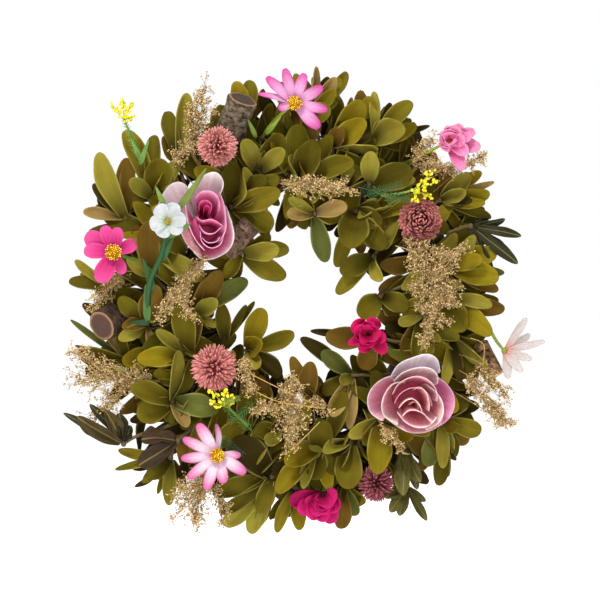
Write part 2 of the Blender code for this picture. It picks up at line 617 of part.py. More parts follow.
def add_yellow_sprigs(wreath):
    for name, (route, buds) in YELLOW_SPRIGS.items():
        places = [wreath_point(place) for place in route]
        hinge = hinge_of(name, places[-1])
        if hinge is not None:
            pivot = hinge[0]
            places.insert(0, pivot + (places[0] - pivot).normalized() * (CORE_RADIUS + CLEARANCE))
        pieces = [tube(places, STEM_RADIUS)]
        bud_base = places[-1].lerp(places[-2], BUD_OVERLAP)
        for tip_x, tip_z, tip_height, width in buds:
            tip = wreath_point((tip_x, tip_z, tip_height))
            pieces.append(blade(bud_base, tip, width * MM, width * MM * BUD_FLATNESS, sides=5, rings=4))
        wreath.add(name, union(pieces), "yellow", hinge)


def leaf_variants(core, leaf):
    """Base and tip of a leaf in each form that may be tried, the drawn one first."""
    tip_x, tip_z, tip_height = leaf[:3]
    for share in LENGTH_SHARES:
        for lift in TIP_LIFTS:
            tip = core.lerp(wreath_point((tip_x, tip_z, tip_height + lift)), share)
            base = core + (tip - core).normalized() * ROOT_INSET
            yield base, tip


def fitted_leaf(wreath, neighbours, core, leaf):
    """The first form of a leaf that clears every other piece and, if one can, its neighbours on the stem.

    A leaf that clears nothing keeps its last and shortest form, so that it stays on its stem.
    """
    width = leaf[3] * MM
    roll = leaf[4]
    spare = None
    for base, tip in leaf_variants(core, leaf):
        inflated = blade(
            base, tip, width + 2 * CLEARANCE, LEAF_THICKNESS + 2 * CLEARANCE, roll, LEAF_CUP
        )
        clear = wreath.clear_of(inflated)
        inflated.free()
        if not clear:
            continue
        outer = blade(base, tip, width, LEAF_THICKNESS, roll, LEAF_CUP, start=LEAF_ROOT_SHARE)
        tree = BVHTree.FromBMesh(outer)
        outer.free()
        if not any(tree.overlap(other) for other in neighbours):
            neighbours.append(tree)
            return blade(base, tip, width, LEAF_THICKNESS, roll, LEAF_CUP)
        if spare is None:
            spare = (base, tip)
    return blade(*(spare or (base, tip)), width, LEAF_THICKNESS, roll, LEAF_CUP)


def add_foliage(wreath, name, anchor, rosettes, colour, bare_cores=()):
    """Twigs from an anchor on the ring to each rosette's core, with the rosette's leaves round it."""
    root = wreath_point((*anchor, TWIG_FOOT_HEIGHT))
    pieces = [ball(root, TWIG_RADIUS * TWIG_FOOT_SWELL)]
    neighbours = []
    for core_x, core_z, core_height, leaves in (*rosettes, *[(*place, ()) for place in bare_cores]):
        core = wreath_point((core_x, core_z, core_height))
        pieces.append(rod(root, core, TWIG_RADIUS, TWIG_RADIUS))
        pieces.append(ball(core, CORE_RADIUS))
        pieces += [fitted_leaf(wreath, neighbours, core, leaf) for leaf in leaves]
    wreath.add(name, union(pieces), colour)


def main():
    clear_scene()
    wreath = Wreath()
    add_ring(wreath)
    add_logs(wreath)
    add_globes(wreath)
    add_roses(wreath)
    add_flowers(wreath)
    add_sprays(wreath)
    add_yellow_sprigs(wreath)
    for name, anchor, rosettes in DARK_SPRIGS:
        add_foliage(wreath, name, anchor, rosettes, "dark_leaf")
    for index, (anchor, rosettes) in enumerate(LEAF_STEMS):
        bare = [place for stem, place in HINGE_CORES.values() if stem == index]
        add_foliage(wreath, f"leaf_stem_{index + 1:02d}", anchor, rosettes, "leaf", bare)


main()
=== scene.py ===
"""The finished look of the flower wreath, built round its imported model.

Metres, +Z up. The wreath hangs upright and faces -Y. The lists give places as (x, z) from the middle of the
ring and heights above the front of the vine bundle, in millimetres.
"""

import math
import random

import bmesh
import bpy
import numpy as np
from mathutils import Matrix, Vector, noise
from mathutils.bvhtree import BVHTree
from mathutils.kdtree import KDTree


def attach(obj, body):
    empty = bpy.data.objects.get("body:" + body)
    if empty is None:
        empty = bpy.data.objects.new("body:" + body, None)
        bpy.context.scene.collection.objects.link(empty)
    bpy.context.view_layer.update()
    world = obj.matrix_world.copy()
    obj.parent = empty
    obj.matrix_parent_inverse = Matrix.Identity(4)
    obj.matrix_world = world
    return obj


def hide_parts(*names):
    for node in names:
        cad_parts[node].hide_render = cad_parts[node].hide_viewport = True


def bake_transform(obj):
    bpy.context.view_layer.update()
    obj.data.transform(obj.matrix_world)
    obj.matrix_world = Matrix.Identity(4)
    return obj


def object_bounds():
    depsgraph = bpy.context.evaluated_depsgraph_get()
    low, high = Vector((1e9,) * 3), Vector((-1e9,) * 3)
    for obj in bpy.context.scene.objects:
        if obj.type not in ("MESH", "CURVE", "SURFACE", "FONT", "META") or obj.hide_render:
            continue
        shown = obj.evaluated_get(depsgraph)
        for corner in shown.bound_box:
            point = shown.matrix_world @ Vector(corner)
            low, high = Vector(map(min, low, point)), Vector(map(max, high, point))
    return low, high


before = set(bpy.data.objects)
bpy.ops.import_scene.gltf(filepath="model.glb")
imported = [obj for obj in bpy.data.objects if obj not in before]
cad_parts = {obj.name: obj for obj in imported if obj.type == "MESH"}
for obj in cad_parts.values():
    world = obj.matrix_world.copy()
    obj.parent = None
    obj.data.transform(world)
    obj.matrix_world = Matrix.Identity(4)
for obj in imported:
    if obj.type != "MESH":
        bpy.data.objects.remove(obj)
cad_low, cad_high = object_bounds()

MM = 0.001
ROOT = "wreath"

# The ring, as the model has it
RING_RADIUS = 80 * MM
CANE_RADIUS = 6.1 * MM
CANE_COUNT = 3
CANE_TWISTS = 5
CLEARANCE = 0.4 * MM
STRAIGHT_HELIX = (2 * CANE_RADIUS + CLEARANCE) / (2 * math.sin(math.pi / CANE_COUNT))
HELIX_RADIUS = 1.03 * STRAIGHT_HELIX * math.hypot(1, CANE_TWISTS * STRAIGHT_HELIX / RING_RADIUS)
BUNDLE_RADIUS = HELIX_RADIUS + CANE_RADIUS
WREATH_CENTRE = Vector((0, 0, -(RING_RADIUS - BUNDLE_RADIUS)))
TOWARD_VIEWER = Vector((0, -1, 0))
CORE_RADIUS = 3.6 * MM
TIE_ANGLES = (190, 314)
WIRE_RADIUS = 0.45 * MM  # of each of the two strands of a tie

# How far apart a point of the visual and the same point of the model may be
SAME_PLACE = 0.03 * MM
# Turn between neighbours of an even spiral, in radians
GOLDEN_TURN = 2.399963
# Degrees between the poses of a bending piece that the leaves keep clear of, and how many there are
SWEEP_STEP = 5
SWEEP_POSES = 6

# Camera
SENSOR_WIDTH = 36
VIEW_WIDTH = 0.36
VIEW_DISTANCE = 2.2
VIEW_AIM = Vector((-0.0018, -0.035, WREATH_CENTRE.z + 0.0006))


def rgb(red, green, blue):
    """Linear colour of an 8-bit screen colour."""
    return tuple(((c / 255 + 0.055) / 1.055) ** 2.4 if c > 10 else c / 3294.6 for c in (red, green, blue))


# Leaf tones. D and K, the darkest, are the same olive with painted shade, for leaves that lie low or in the
# shade of others.
TONES = {
    "L": rgb(132, 124, 44),
    "O": rgb(108, 98, 20),
    "Y": rgb(124, 110, 18),
    "D": rgb(84, 76, 14),
    "K": rgb(52, 44, 10),
    "B": rgb(104, 80, 26),
    "T": rgb(146, 122, 70),
    "G": rgb(92, 98, 44),
    "k": rgb(34, 33, 15),
    "b": rgb(58, 46, 20),
    "p": rgb(46, 32, 20),
    "g": rgb(72, 70, 32),
}

# Each leaf: tip x, tip z, tip height, width, roll about its length in degrees.
# Each stem: anchor on the ring, then its rosettes as (x, z, height, tone of each leaf, leaves).
LEAF_STEMS = (
    ((-38, 70), (
        (-43, 57, 8, "ODLOO", (
            (-13, 66, 30, 15, 0), (-42, 85, 20, 13, 0), (-36, 80, 30, 14, 65), (-14, 75, 20, 12, 0),
            (-18, 44, 22, 15, 0))),
        (-37, 29, 4, "LOOO", (
            (-14, 32, 18, 13, 0), (-8, 31, 8, 11, 0), (-10, 14, 6, 14, 0), (-48, 13, 8, 9, 0))),
        (-35, 108, 0, "YO", ((-41, 133, 6, 11, 0), (-32, 134, 2, 11, 0))),
    )),
    ((-2, 80), (
        (-27, 78, 8, "LDL", ((-36, 97, 26, 12, 0), (-13, 101, 22, 16, 0), (-11, 91, 28, 11, 0))),
        (-3, 73, 8, "DOOL", (
            (8, 97, 24, 17, 0), (31, 83, 30, 14, -20), (-3, 107, 16, 15, 0), (-9, 85, 30, 12, 70))),
        (7, 53, 4, "TTLGB", (
            (27, 57, 18, 11, 0), (-10, 52, 16, 10, 0), (-9, 62, 20, 7, 0), (14, 23, 8, 12, 0),
            (12, 38, 4, 6, 0))),
    )),
    ((18, 78), (
        (5, 112, 4, "OYTTOBOO", (
            (17, 115, 20, 13, 0), (20, 127, 16, 9, 0), (20, 135, 12, 9, 0), (8, 142, 8, 7, 30),
            (-5, 138, 2, 8, 0), (-15, 132, 6, 9, 0), (23, 135, 6, 8, 0), (27, 139, 4, 9, 40))),
        (18, 92, 6, "YYLB", (
            (38, 109, 20, 15, 0), (36, 121, 14, 16, 0), (45, 92, 26, 12, 60), (24, 105, 14, 11, 0))),
    )),
    ((40, 69), (
        (43, 96, 6, "LOYOLKK", (
            (62, 103, 26, 17, 0), (66, 120, 14, 12, 0), (69, 106, 10, 11, 0), (39, 124, 8, 11, 0),
            (43, 127, 4, 7, 0), (53, 120, 6, 6, 0), (77, 106, 6, 4, 0))),
        (40, 71, 8, "DLL", ((65, 80, 28, 19, 0), (68, 73, 20, 10, 0), (41, 90, 26, 12, 0))),
    )),
    ((59, 54), (
        (32, 54, 6, "DDDO", (
            (27, 31, 24, 20, 0), (48, 46, 20, 14, 0), (50, 31, 16, 14, 0), (20, 20, 6, 10, 0))),
        (43, 27, 4, "DOL", ((22, 17, 12, 14, 0), (20, 4, 6, 10, 0), (48, 12, 20, 10, 60))),
    )),
    ((66, 45), (
        (83, 61, 6, "LLYYKYDT", (
            (101, 77, 18, 11, 0), (98, 66, 24, 9, 0), (113, 65, 12, 12, 0), (108, 78, 10, 9, 0),
            (102, 60, 26, 7, 0), (110, 59, 16, 8, 0), (114, 50, 8, 8, 0), (116, 72, 6, 5, 0))),
    )),
    ((78, 18), (
        (87, 21, 6, "YYYLBG", (
            (108, 25, 24, 12, 0), (118, 13, 20, 16, 0), (117, 29, 16, 15, 0), (103, 40, 22, 10, 45),
            (118, 6, 14, 10, 0), (122, 17, 8, 7, 0))),
        (47, 3, 4, "OD", ((33, -9, 14, 16, 0), (64, -5, 14, 13, 0))),
    )),
    ((80, -4), (
        (85, 2, 8, "OYLB", (
            (96, -19, 28, 16, 0), (113, -21, 22, 14, 0), (114, -3, 22, 9, 0), (122, -5, 12, 12, 0))),
        (72, -8, 8, "OLL", ((69, -38, 20, 16, 0), (58, -15, 22, 10, 50), (83, -24, 26, 8, 60))),
    )),
    ((75, -27), (
        (89, -21, 6, "LDL", ((84, -52, 28, 8, 0), (103, -49, 18, 14, 0), (111, -40, 22, 9, 40))),
        (42, -22, 2, "BBK", ((13, -21, 12, 15, 0), (37, -42, 10, 13, 0), (4, -18, 4, 5, 0))),
    )),
    ((66, -45), (
        (30, -45, 2, "GKLTT", (
            (11, -30, 8, 11, 0), (-2, -22, 4, 10, 0), (22, -49, 14, 8, 0), (17, -70, 16, 11, 0),
            (28, -78, 12, 8, 0))),
        (84, -71, 4, "LGLOODDD", (
            (84, -101, 16, 9, 0), (74, -100, 12, 13, 0), (90, -92, 6, 7, 0), (92, -79, 14, 9, 0),
            (108, -79, 4, 12, 0), (100, -58, 8, 12, 0), (82, -112, 6, 11, 0), (87, -107, 2, 9, 0))),
    )),
    ((42, -68), (
        (46, -72, 8, "YLYL", (
            (44, -104, 28, 16, 0), (27, -81, 26, 10, 0), (66, -83, 22, 12, 0), (77, -80, 16, 10, 0))),
        (28, -85, 8, "OL", ((26, -113, 26, 18, 0), (12, -91, 28, 10, 50))),
        (23, -110, 2, "BG", ((23, -138, 6, 12, 0), (33, -130, 2, 11, 0))),
    )),
    ((8, -80), (
        (8, -89, 8, "YDDLYY", (
            (-11, -98, 28, 15, 0), (14, -71, 24, 16, 0), (8, -108, 20, 15, 0), (0, -113, 22, 8, 0),
            (-16, -116, 20, 13, 0), (16, -114, 16, 9, 0))),
        (3, -60, 3, "BB", ((5, -36, 12, 13, 0), (-7, -33, 8, 9, 0))),
    )),
    ((-14, -79), (
        (-5, -113, 0, "YBO", ((-2, -139, 4, 10, 0), (-9, -130, 2, 7, 0), (-16, -140, 8, 8, 30))),
        (-19, -106, 6, "KODDLL", (
            (-42, -82, 18, 20, 0), (-27, -128, 16, 12, 0), (-54, -116, 16, 12, 0), (-51, -128, 12, 9, 0),
            (-48, -136, 8, 13, 0), (-32, -141, 6, 13, 0))),
        (-14, -78, 8, "LD", ((-21, -87, 20, 10, 0), (-30, -79, 14, 12, 0))),
    )),
    ((-38, -70), (
        (-34, -30, 3, "YLOYK", (
            (-24, -24, 24, 14, 0), (-27, -41, 22, 10, 0), (-5, -19, 10, 12, 0), (-24, -4, 8, 14, 0),
            (-13, -46, 6, 12, 0))),
        (-52, -84, 4, "OY", ((-50, -57, 12, 18, 0), (-64, -80, 10, 10, 0))),
    )),
    ((-66, -50), (
        (-79, -61, 6, "LTOOG", (
            (-75, -29, 28, 12, 65), (-69, -76, 22, 9, 0), (-100, -69, 20, 16, 0), (-104, -52, 18, 14, 0),
            (-50, -66, 16, 15, 0))),
        (-80, -95, 2, "DOLOOO", (
            (-93, -107, 10, 12, 0), (-97, -110, 6, 6, 0), (-81, -124, 6, 9, 0), (-112, -90, 6, 7, 0),
            (-114, -102, 4, 5, 0), (-88, -117, 4, 4, 0))),
    )),
    ((-75, -28), (
        (-68, -33, 8, "LYO", ((-88, -17, 28, 8, 0), (-100, -35, 24, 13, 0), (-73, 0, 22, 15, 0))),
        (-104, -38, 2, "TLOG", (
            (-119, -18, 14, 8, 0), (-118, -45, 12, 8, 0), (-136, -30, 8, 13, 0), (-141, -11, 4, 4, 0))),
        (-47, -25, 3, "DDD", ((-49, -1, 12, 10, 0), (-34, -2, 6, 5, 0), (-29, 0, 2, 4, 0))),
    )),
    ((-80, 4), (
        (-94, -14, 6, "BOLBT", (
            (-87, 10, 22, 15, 0), (-110, 3, 20, 12, 0), (-111, -23, 18, 9, 0), (-109, -16, 14, 9, 0),
            (-91, -31, 14, 6, 0))),
        (-66, -8, 6, "LBLG", (
            (-51, 1, 20, 11, 0), (-49, 19, 18, 14, 0), (-52, -16, 14, 6, 0), (-33, 13, 8, 13, 0))),
        (-90, 15, 4, "LBB", ((-106, 26, 20, 9, 0), (-91, 53, 14, 16, 0), (-102, 46, 10, 12, 0))),
        (-117, 8, 0, "LD", ((-138, 25, 4, 6, 0), (-142, 12, 2, 9, 0))),
    )),
    ((-66, 45), (
        (-107, 50, 2, "LKTB", (
            (-123, 90, 16, 14, 0), (-127, 71, 8, 9, 0), (-133, 54, 8, 8, 0), (-106, 86, 6, 10, 0))),
        (-90, 62, 6, "LOLOD", (
            (-104, 73, 24, 10, 0), (-86, 86, 24, 18, 0), (-74, 84, 16, 12, 0), (-108, 104, 12, 13, 0),
            (-90, 101, 6, 11, 0))),
        (-75, 86, 2, "DDL", ((-60, 80, 8, 13, 0), (-82, 115, 4, 11, 0), (-70, 126, 6, 11, 0))),
    )),
)
DARK_SPRIGS = (
    ("dark_sprig_right", (72, 38), (
        (101, 45, 14, "kkkg", (
            (132, 39, 14, 9, 0), (130, 22, 12, 12, 0), (112, 49, 12, 9, 0), (122, 33, 6, 9, 0))),
    )),
    ("dark_sprig_lower_left", (-51, -61), (
        (-108, -86, 14, "bkk", ((-136, -69, 20, 15, 0), (-145, -67, 14, 8, 0), (-111, -67, 14, 11, 0))),
        (-75, -84, 17, "p", ((-99, -99, 20, 18, 0),)),
    )),
    ("grey_sprig_bottom_right", (51, -65), (
        (62, -88, 6, "gg", ((60, -117, 22, 15, 0), (69, -114, 12, 9, 0))),
        (63, -112, 4, "ggg", ((52, -127, 16, 11, 0), (58, -130, 8, 11, 0), (75, -133, 8, 8, 0))),
    )),
)
HINGE_CORES = {
    "top_daisy": (1, (-25, 98, 6)),
    "upper_right_cosmos": (3, (61, 83, 6)),
    "right_daisy": (7, (105, -8, 4)),
    "yellow_sprig_upper_left": (17, (-93, 79, 2)),
}

# A leaf of the model is the drawn one with one of these changes: tip height, then length.
TIP_LIFTS = (0, 3, -3, 6, -6, 9, -9, 12, -12, 16, -16, 20, 25, 30)
LENGTH_SHARES = (1.0, 0.88, 0.76, 0.64, 0.52, 0.42)


def wreath_point(place):
    """World place of (x, z, height), in millimetres."""
    x, z, height = place
    return WREATH_CENTRE + Vector((x, 0, z)) * MM + TOWARD_VIEWER * (BUNDLE_RADIUS + height * MM)


# ---------------------------------------------------------------- meshes

class Mesher:
    """Gathers closed shapes into one mesh, with a tone and a place along and across for each point."""

    def __init__(self):
        self.points = []
        self.faces = []
        self.slots = []
        self.tones = []
        self.along = []
        self.across = []
        self.count = 0

    def add(self, points, faces, tone, slot=0, along=0.5, across=0.0):
        points = np.asarray(points, float).reshape(-1, 3)
        size = len(points)
        self.points.append(points)
        self.faces += [tuple(int(i) + self.count for i in face) for face in faces]
        self.slots += [slot] * len(faces)
        self.tones.append(np.broadcast_to(np.asarray(tone, float)[..., :3], (size, 3)))
        self.along.append(np.broadcast_to(along, size))
        self.across.append(np.broadcast_to(across, size))
        self.count += size

    def build(self, name, materials, levels=0):
        mesh = bpy.data.meshes.new(name)
        mesh.from_pydata(np.concatenate(self.points).tolist(), [], self.faces)
        for made in materials:
            mesh.materials.append(made)
        mesh.polygons.foreach_set("material_index", self.slots)
        tones = mesh.attributes.new("tone", "FLOAT_COLOR", "POINT")
        colours = np.column_stack([np.concatenate(self.tones), np.ones(self.count)])
        tones.data.foreach_set("color", colours.ravel())
        for key, values in (("along", self.along), ("across", self.across)):
            mesh.attributes.new(key, "FLOAT", "POINT").data.foreach_set("value", np.concatenate(values))
        mesh.shade_smooth()
        mesh.update()
        obj = bpy.data.objects.new(name, mesh)
        bpy.context.scene.collection.objects.link(obj)
        if levels:
            smooth = obj.modifiers.new("Smooth", "SUBSURF")
            smooth.levels = levels
            smooth.render_levels = levels
        return obj


def round_turn(right, up, turn):
    """The direction at a turn from right toward up."""
    return right * math.cos(turn) + up * math.sin(turn)


def shake(dice, reach=1):
    """A random step, up to reach each way."""
    return Vector([dice.uniform(-reach, reach) for _ in range(3)])


def scatter(dice, size=1):
    """A random step of about this size, sometimes much longer."""
    return Vector([dice.gauss(0, size) for _ in range(3)])


def facing(along, roll):
    """(normal, side) of a blade along a direction, turned broad side to the viewer and then rolled."""
    normal = TOWARD_VIEWER - along * TOWARD_VIEWER.dot(along)
    normal = Matrix.Rotation(math.radians(roll), 3, along) @ normal.normalized()
    return normal, normal.cross(along)


def shell(mesher, grid, thickness, tone, slot=0):
    """Closes a grid of points (rows, columns, 3) into a sheet of this thickness."""
    rows, columns = grid.shape[:2]
    normal = np.cross(np.gradient(grid, axis=1), np.gradient(grid, axis=0))
    normal /= np.linalg.norm(normal, axis=2, keepdims=True) + 1e-12
    front = grid + normal * thickness / 2
    back = grid - normal * thickness / 2
    size = rows * columns
    index = np.arange(size).reshape(rows, columns)
    faces = []
    for i in range(rows - 1):
        for j in range(columns - 1):
            a, b, c, d = index[i, j], index[i, j + 1], index[i + 1, j + 1], index[i + 1, j]
            faces.append((a, b, c, d))
            faces.append((a + size, d + size, c + size, b + size))
    rim = [*index[0, :-1], *index[:-1, -1], *index[-1, :0:-1], *index[:0:-1, 0]]
    for a, b in zip(rim, rim[1:] + rim[:1]):
        faces.append((b, a, a + size, b + size))
    along = np.repeat(np.linspace(0, 1, rows), columns)
    across = np.tile(np.linspace(-1, 1, columns), rows)
    if np.ndim(tone) == 3:
        tone = np.tile(tone.reshape(-1, 3), (2, 1))
    mesher.add(np.concatenate([front.reshape(-1, 3), back.reshape(-1, 3)]), faces, tone, slot,
               np.tile(along, 2), np.tile(across, 2))


def leaf_grid(base, tip, width, roll=0.0, cup=0.1, arch=0.05, root=0.3, round_from=0.58, point=2.0, wave=0.0,
              rows=8, columns=7, seed=0):
    """Points of a spoon-shaped blade: narrow at base, widest past its middle, with a round end at tip."""
    along = (tip - base).normalized()
    length = (tip - base).length
    normal, side = facing(along, roll)
    s = np.linspace(0, 1, rows)[:, None]
    v = np.linspace(-1, 1, columns)[None, :]
    end = round_from + (1 - round_from) * np.maximum(1 - np.abs(v) ** point, 0) ** 0.5
    y = s * end
    half = width / 2 * (root + (1 - root) * np.sin(np.clip(s * 1.08, 0, 1) * math.pi / 2) ** 1.1)
    x = v * half
    rise = cup * width * (v ** 2) * (0.35 + 0.65 * s) + arch * length * np.sin(y * math.pi)
    if wave:
        rise = rise + wave * width * np.sin(s * 7 + v * 2.2 + seed) * np.abs(v)
    return (np.array(base)[None, None] + np.array(along) * (y * length)[..., None]
            + np.array(side) * x[..., None] + np.array(normal) * rise[..., None])


def tube(mesher, points, radii, tone, sides=6, slot=0, closed=False):
    """A round tube through the points, its ends drawn to a cap. radii is one number or one for each point."""
    points = [Vector(p) for p in points]
    count = len(points)
    radii = np.broadcast_to(radii, count)
    if closed:
        heads = [(points[(i + 1) % count] - points[i - 1]).normalized() for i in range(count)]
    else:
        heads = [(points[min(i + 1, count - 1)] - points[max(i - 1, 0)]).normalized() for i in range(count)]
    up = heads[0].orthogonal().normalized()
    rings = []
    for place, head, radius in zip(points, heads, radii):
        up = (up - head * up.dot(head)).normalized()
        right = head.cross(up)
        for k in range(sides):
            turn = 2 * math.pi * k / sides
            rings.append(place + round_turn(up, right, turn) * radius)
    faces = []
    spans = count if closed else count - 1
    for i in range(spans):
        for k in range(sides):
            a = i * sides + k
            b = i * sides + (k + 1) % sides
            c = ((i + 1) % count) * sides + (k + 1) % sides
            d = ((i + 1) % count) * sides + k
            faces.append((a, b, c, d))
    if not closed:
        faces.append(tuple(range(sides))[::-1])
        faces.append(tuple(range((count - 1) * sides, count * sides)))
    along = np.repeat(np.linspace(0, 1, count), sides)
    across = np.tile(np.linspace(0, 1, sides), count)
    mesher.add(rings, faces, tone, slot, along, across)


def bead(mesher, middle, radius, tone, slot=0, stretch=1.0, head=None):
    """A small faceted berry or bud, drawn out along head."""
    head = (head or Vector((0, 0, 1))).normalized()
    right = head.orthogonal().normalized()
    up = head.cross(right)
    points = [middle - head * radius * stretch]
    for level, share in ((-0.45, 0.88), (0.45, 0.88)):
        for k in range(5):
            turn = 2 * math.pi * k / 5
            points.append(middle + head * radius * stretch * level
                          + round_turn(right, up, turn) * radius * share)
    points.append(middle + head * radius * stretch)
    faces = []
    for k in range(5):
        n = (k + 1) % 5
        faces.append((0, 1 + n, 1 + k))
        faces.append((1 + k, 1 + n, 6 + n, 6 + k))
        faces.append((6 + k, 6 + n, 11))
    mesher.add(points, faces, tone, slot)


def fleck(mesher, middle, radius, tone, head, stretch=1.3):
    """A tiny eight-sided bud, drawn out along head."""
    head = head.normalized()
    right = head.orthogonal().normalized()
    up = head.cross(right)
    points = [middle - head * radius * stretch, middle + head * radius * stretch]
    points += [middle + right * radius, middle + up * radius, middle - right * radius, middle - up * radius]
    faces = []
    for k in range(4):
        a, b = 2 + k, 2 + (k + 1) % 4
        faces += [(0, b, a), (1, a, b)]
    mesher.add(points, faces, tone)


def smooth_route(points, steps=5):
    """Catmull-Rom points through the given ones."""
    points = [Vector(p) for p in points]
    padded = [points[0] * 2 - points[1], *points, points[-1] * 2 - points[-2]]
    route = []
    for a, b, c, d in zip(padded, padded[1:], padded[2:], padded[3:]):
        for step in range(steps):
            t = step / steps
            route.append(0.5 * (2 * b + (c - a) * t + (2 * a - 5 * b + 4 * c - d) * t * t
                                + (3 * b - a - 3 * c + d) * t * t * t))
    route.append(points[-1])
    return route


# ---------------------------------------------------------------- materials

class Tree:
    """A material's node tree, with short calls for adding nodes."""

    def __init__(self, name, roughness=0.7, **values):
        self.material = bpy.data.materials.new(name)
        self.material.use_nodes = True
        self.tree = self.material.node_tree
        self.shader = self.tree.nodes["Principled BSDF"]
        self.shader.inputs["Roughness"].default_value = roughness
        for key, value in values.items():
            self.shader.inputs[key.replace("_", " ")].default_value = value

    def node(self, kind, **settings):
        made = self.tree.nodes.new(kind)
        for key, value in settings.items():
            setattr(made, key, value)
        return made

    def link(self, source, target):
        self.tree.links.new(source, target)

    def attribute(self, name, output="Fac"):
        return self.node("ShaderNodeAttribute", attribute_name=name).outputs[output]

    def tone(self):
        return self.attribute("tone", "Color")

    def place(self):
        return self.node("ShaderNodeTexCoord").outputs["Object"]

    def noise(self, scale, detail=3.0, vector=None, roughness=0.5):
        made = self.node("ShaderNodeTexNoise")
        made.inputs["Scale"].default_value = scale
        made.inputs["Detail"].default_value = detail
        made.inputs["Roughness"].default_value = roughness
        self.link(vector or self.place(), made.inputs["Vector"])
        return made.outputs["Fac"]

    def math(self, operation, a, b=0.0, c=0.0):
        made = self.node("ShaderNodeMath", operation=operation)
        for socket, value in zip(made.inputs, (a, b, c)):
            if isinstance(value, (int, float)):
                socket.default_value = value
            else:
                self.link(value, socket)
        return made.outputs[0]

    def spread(self, value, low, high, to_low, to_high):
        made = self.node("ShaderNodeMapRange")
        made.inputs["From Min"].default_value = low
        made.inputs["From Max"].default_value = high
        made.inputs["To Min"].default_value = to_low
        made.inputs["To Max"].default_value = to_high
        self.link(value, made.inputs["Value"])
        return made.outputs["Result"]

    def mix(self, factor, a, b, blend="MIX"):
        made = self.node("ShaderNodeMix", data_type="RGBA", blend_type=blend)
        for socket, value in zip((made.inputs[0], made.inputs[6], made.inputs[7]), (factor, a, b)):
            if isinstance(value, (int, float)):
                socket.default_value = value
            elif isinstance(value, tuple):
                socket.default_value = (*value[:3], 1)
            else:
                self.link(value, socket)
        return made.outputs[2]

    def scaled(self, colour, factor):
        """The colour times a grey factor."""
        made = self.node("ShaderNodeVectorMath", operation="SCALE")
        self.link(colour, made.inputs[0])
        self.link(factor, made.inputs["Scale"])
        return made.outputs[0]

    def colour(self, source):
        self.link(source, self.shader.inputs["Base Color"])

    def rough(self, source):
        self.link(source, self.shader.inputs["Roughness"])

    def bump(self, height, strength, distance):
        made = self.node("ShaderNodeBump")
        made.inputs["Strength"].default_value = strength
        made.inputs["Distance"].default_value = distance
        self.link(height, made.inputs["Height"])
        self.link(made.outputs["Normal"], self.shader.inputs["Normal"])

    def grain(self, across_scale, along_scale, shift=True):
        """Coordinates along a shape, so that noise on them is a lengthwise grain. The shift sets one blade's
        grain apart from the next one's."""
        made = self.node("ShaderNodeCombineXYZ")
        self.link(self.math("MULTIPLY", self.attribute("across"), across_scale), made.inputs[0])
        self.link(self.math("MULTIPLY", self.attribute("along"), along_scale), made.inputs[1])
        if shift:
            self.link(self.noise(9.0, 0.0), made.inputs[2])
        return made.outputs[0]


def leaf_material():
    t = Tree("leaf_felt", 0.85, Specular_IOR_Level=0.08)
    tone = t.tone()
    edge = t.math("ABSOLUTE", t.attribute("across"))
    streaks = t.noise(1.0, 4.0, t.grain(14.0, 1.6), 0.6)
    blotches = t.noise(70.0, 3.0)
    browner = t.mix(1.0, tone, (0.80, 0.62, 0.42), "MULTIPLY")
    body = t.mix(t.spread(blotches, 0.35, 0.7, 0.0, 0.6), tone, browner)
    body = t.scaled(body, t.spread(streaks, 0.3, 0.7, 0.86, 1.14))
    # Painted shade: each blade darkens toward its base, where the leaves crowd over one another.
    body = t.scaled(body, t.spread(t.attribute("along"), 0.0, 0.6, 0.36, 1.0))
    rim = t.mix(0.5, t.scaled(tone, t.spread(blotches, 0.0, 1.0, 1.4, 1.7)), rgb(168, 156, 92))
    t.colour(t.mix(t.spread(edge, 0.9, 1.0, 0.0, 0.5), body, rim))
    t.rough(t.spread(streaks, 0.3, 0.7, 0.78, 0.92))
    t.bump(streaks, 0.25, 0.0006)
    return t.material


def dark_leaf_material():
    t = Tree("dark_leaf", 0.7, Specular_IOR_Level=0.2)
    tone = t.tone()
    rib = t.math("ABSOLUTE", t.attribute("across"))
    veins = t.noise(1.0, 3.0, t.grain(8.0, 7.0), 0.5)
    body = t.mix(t.spread(veins, 0.35, 0.65, 0.0, 0.8), tone, t.mix(1.0, tone, (1.9, 1.7, 1.1), "MULTIPLY"))
    t.colour(t.mix(t.spread(rib, 0.03, 0.14, 0.55, 0.0), body, rgb(132, 126, 70)))
    t.rough(t.spread(veins, 0.3, 0.7, 0.5, 0.75))
    t.bump(veins, 0.5, 0.001)
    return t.material


def petal_material():
    t = Tree("silk_petal", 0.72, Specular_IOR_Level=0.15, Subsurface_Weight=0.12, Subsurface_Scale=0.002)
    tone = t.tone()
    fibres = t.noise(1.0, 4.0, t.grain(9.0, 1.2), 0.6)
    weave = t.noise(900.0, 1.0)
    body = t.scaled(tone, t.spread(fibres, 0.3, 0.7, 0.66, 0.86))
    t.colour(t.scaled(body, t.spread(weave, 0.3, 0.7, 0.94, 1.06)))
    t.rough(t.spread(weave, 0.3, 0.7, 0.64, 0.8))
    t.bump(fibres, 0.3, 0.0005)
    return t.material


def toned_material(name, roughness=0.7, scale=300.0, low=0.7, high=1.25, bump=0.3, specular=0.3):
    """A material whose colour is each point's tone, broken up by noise."""
    t = Tree(name, roughness, Specular_IOR_Level=specular)
    speckle = t.noise(scale, 4.0, None, 0.6)
    t.colour(t.scaled(t.tone(), t.spread(speckle, 0.3, 0.7, low, high)))
    t.rough(t.spread(speckle, 0.3, 0.7, roughness - 0.1, roughness + 0.1))
    t.bump(speckle, bump, 0.0006)
    return t.material


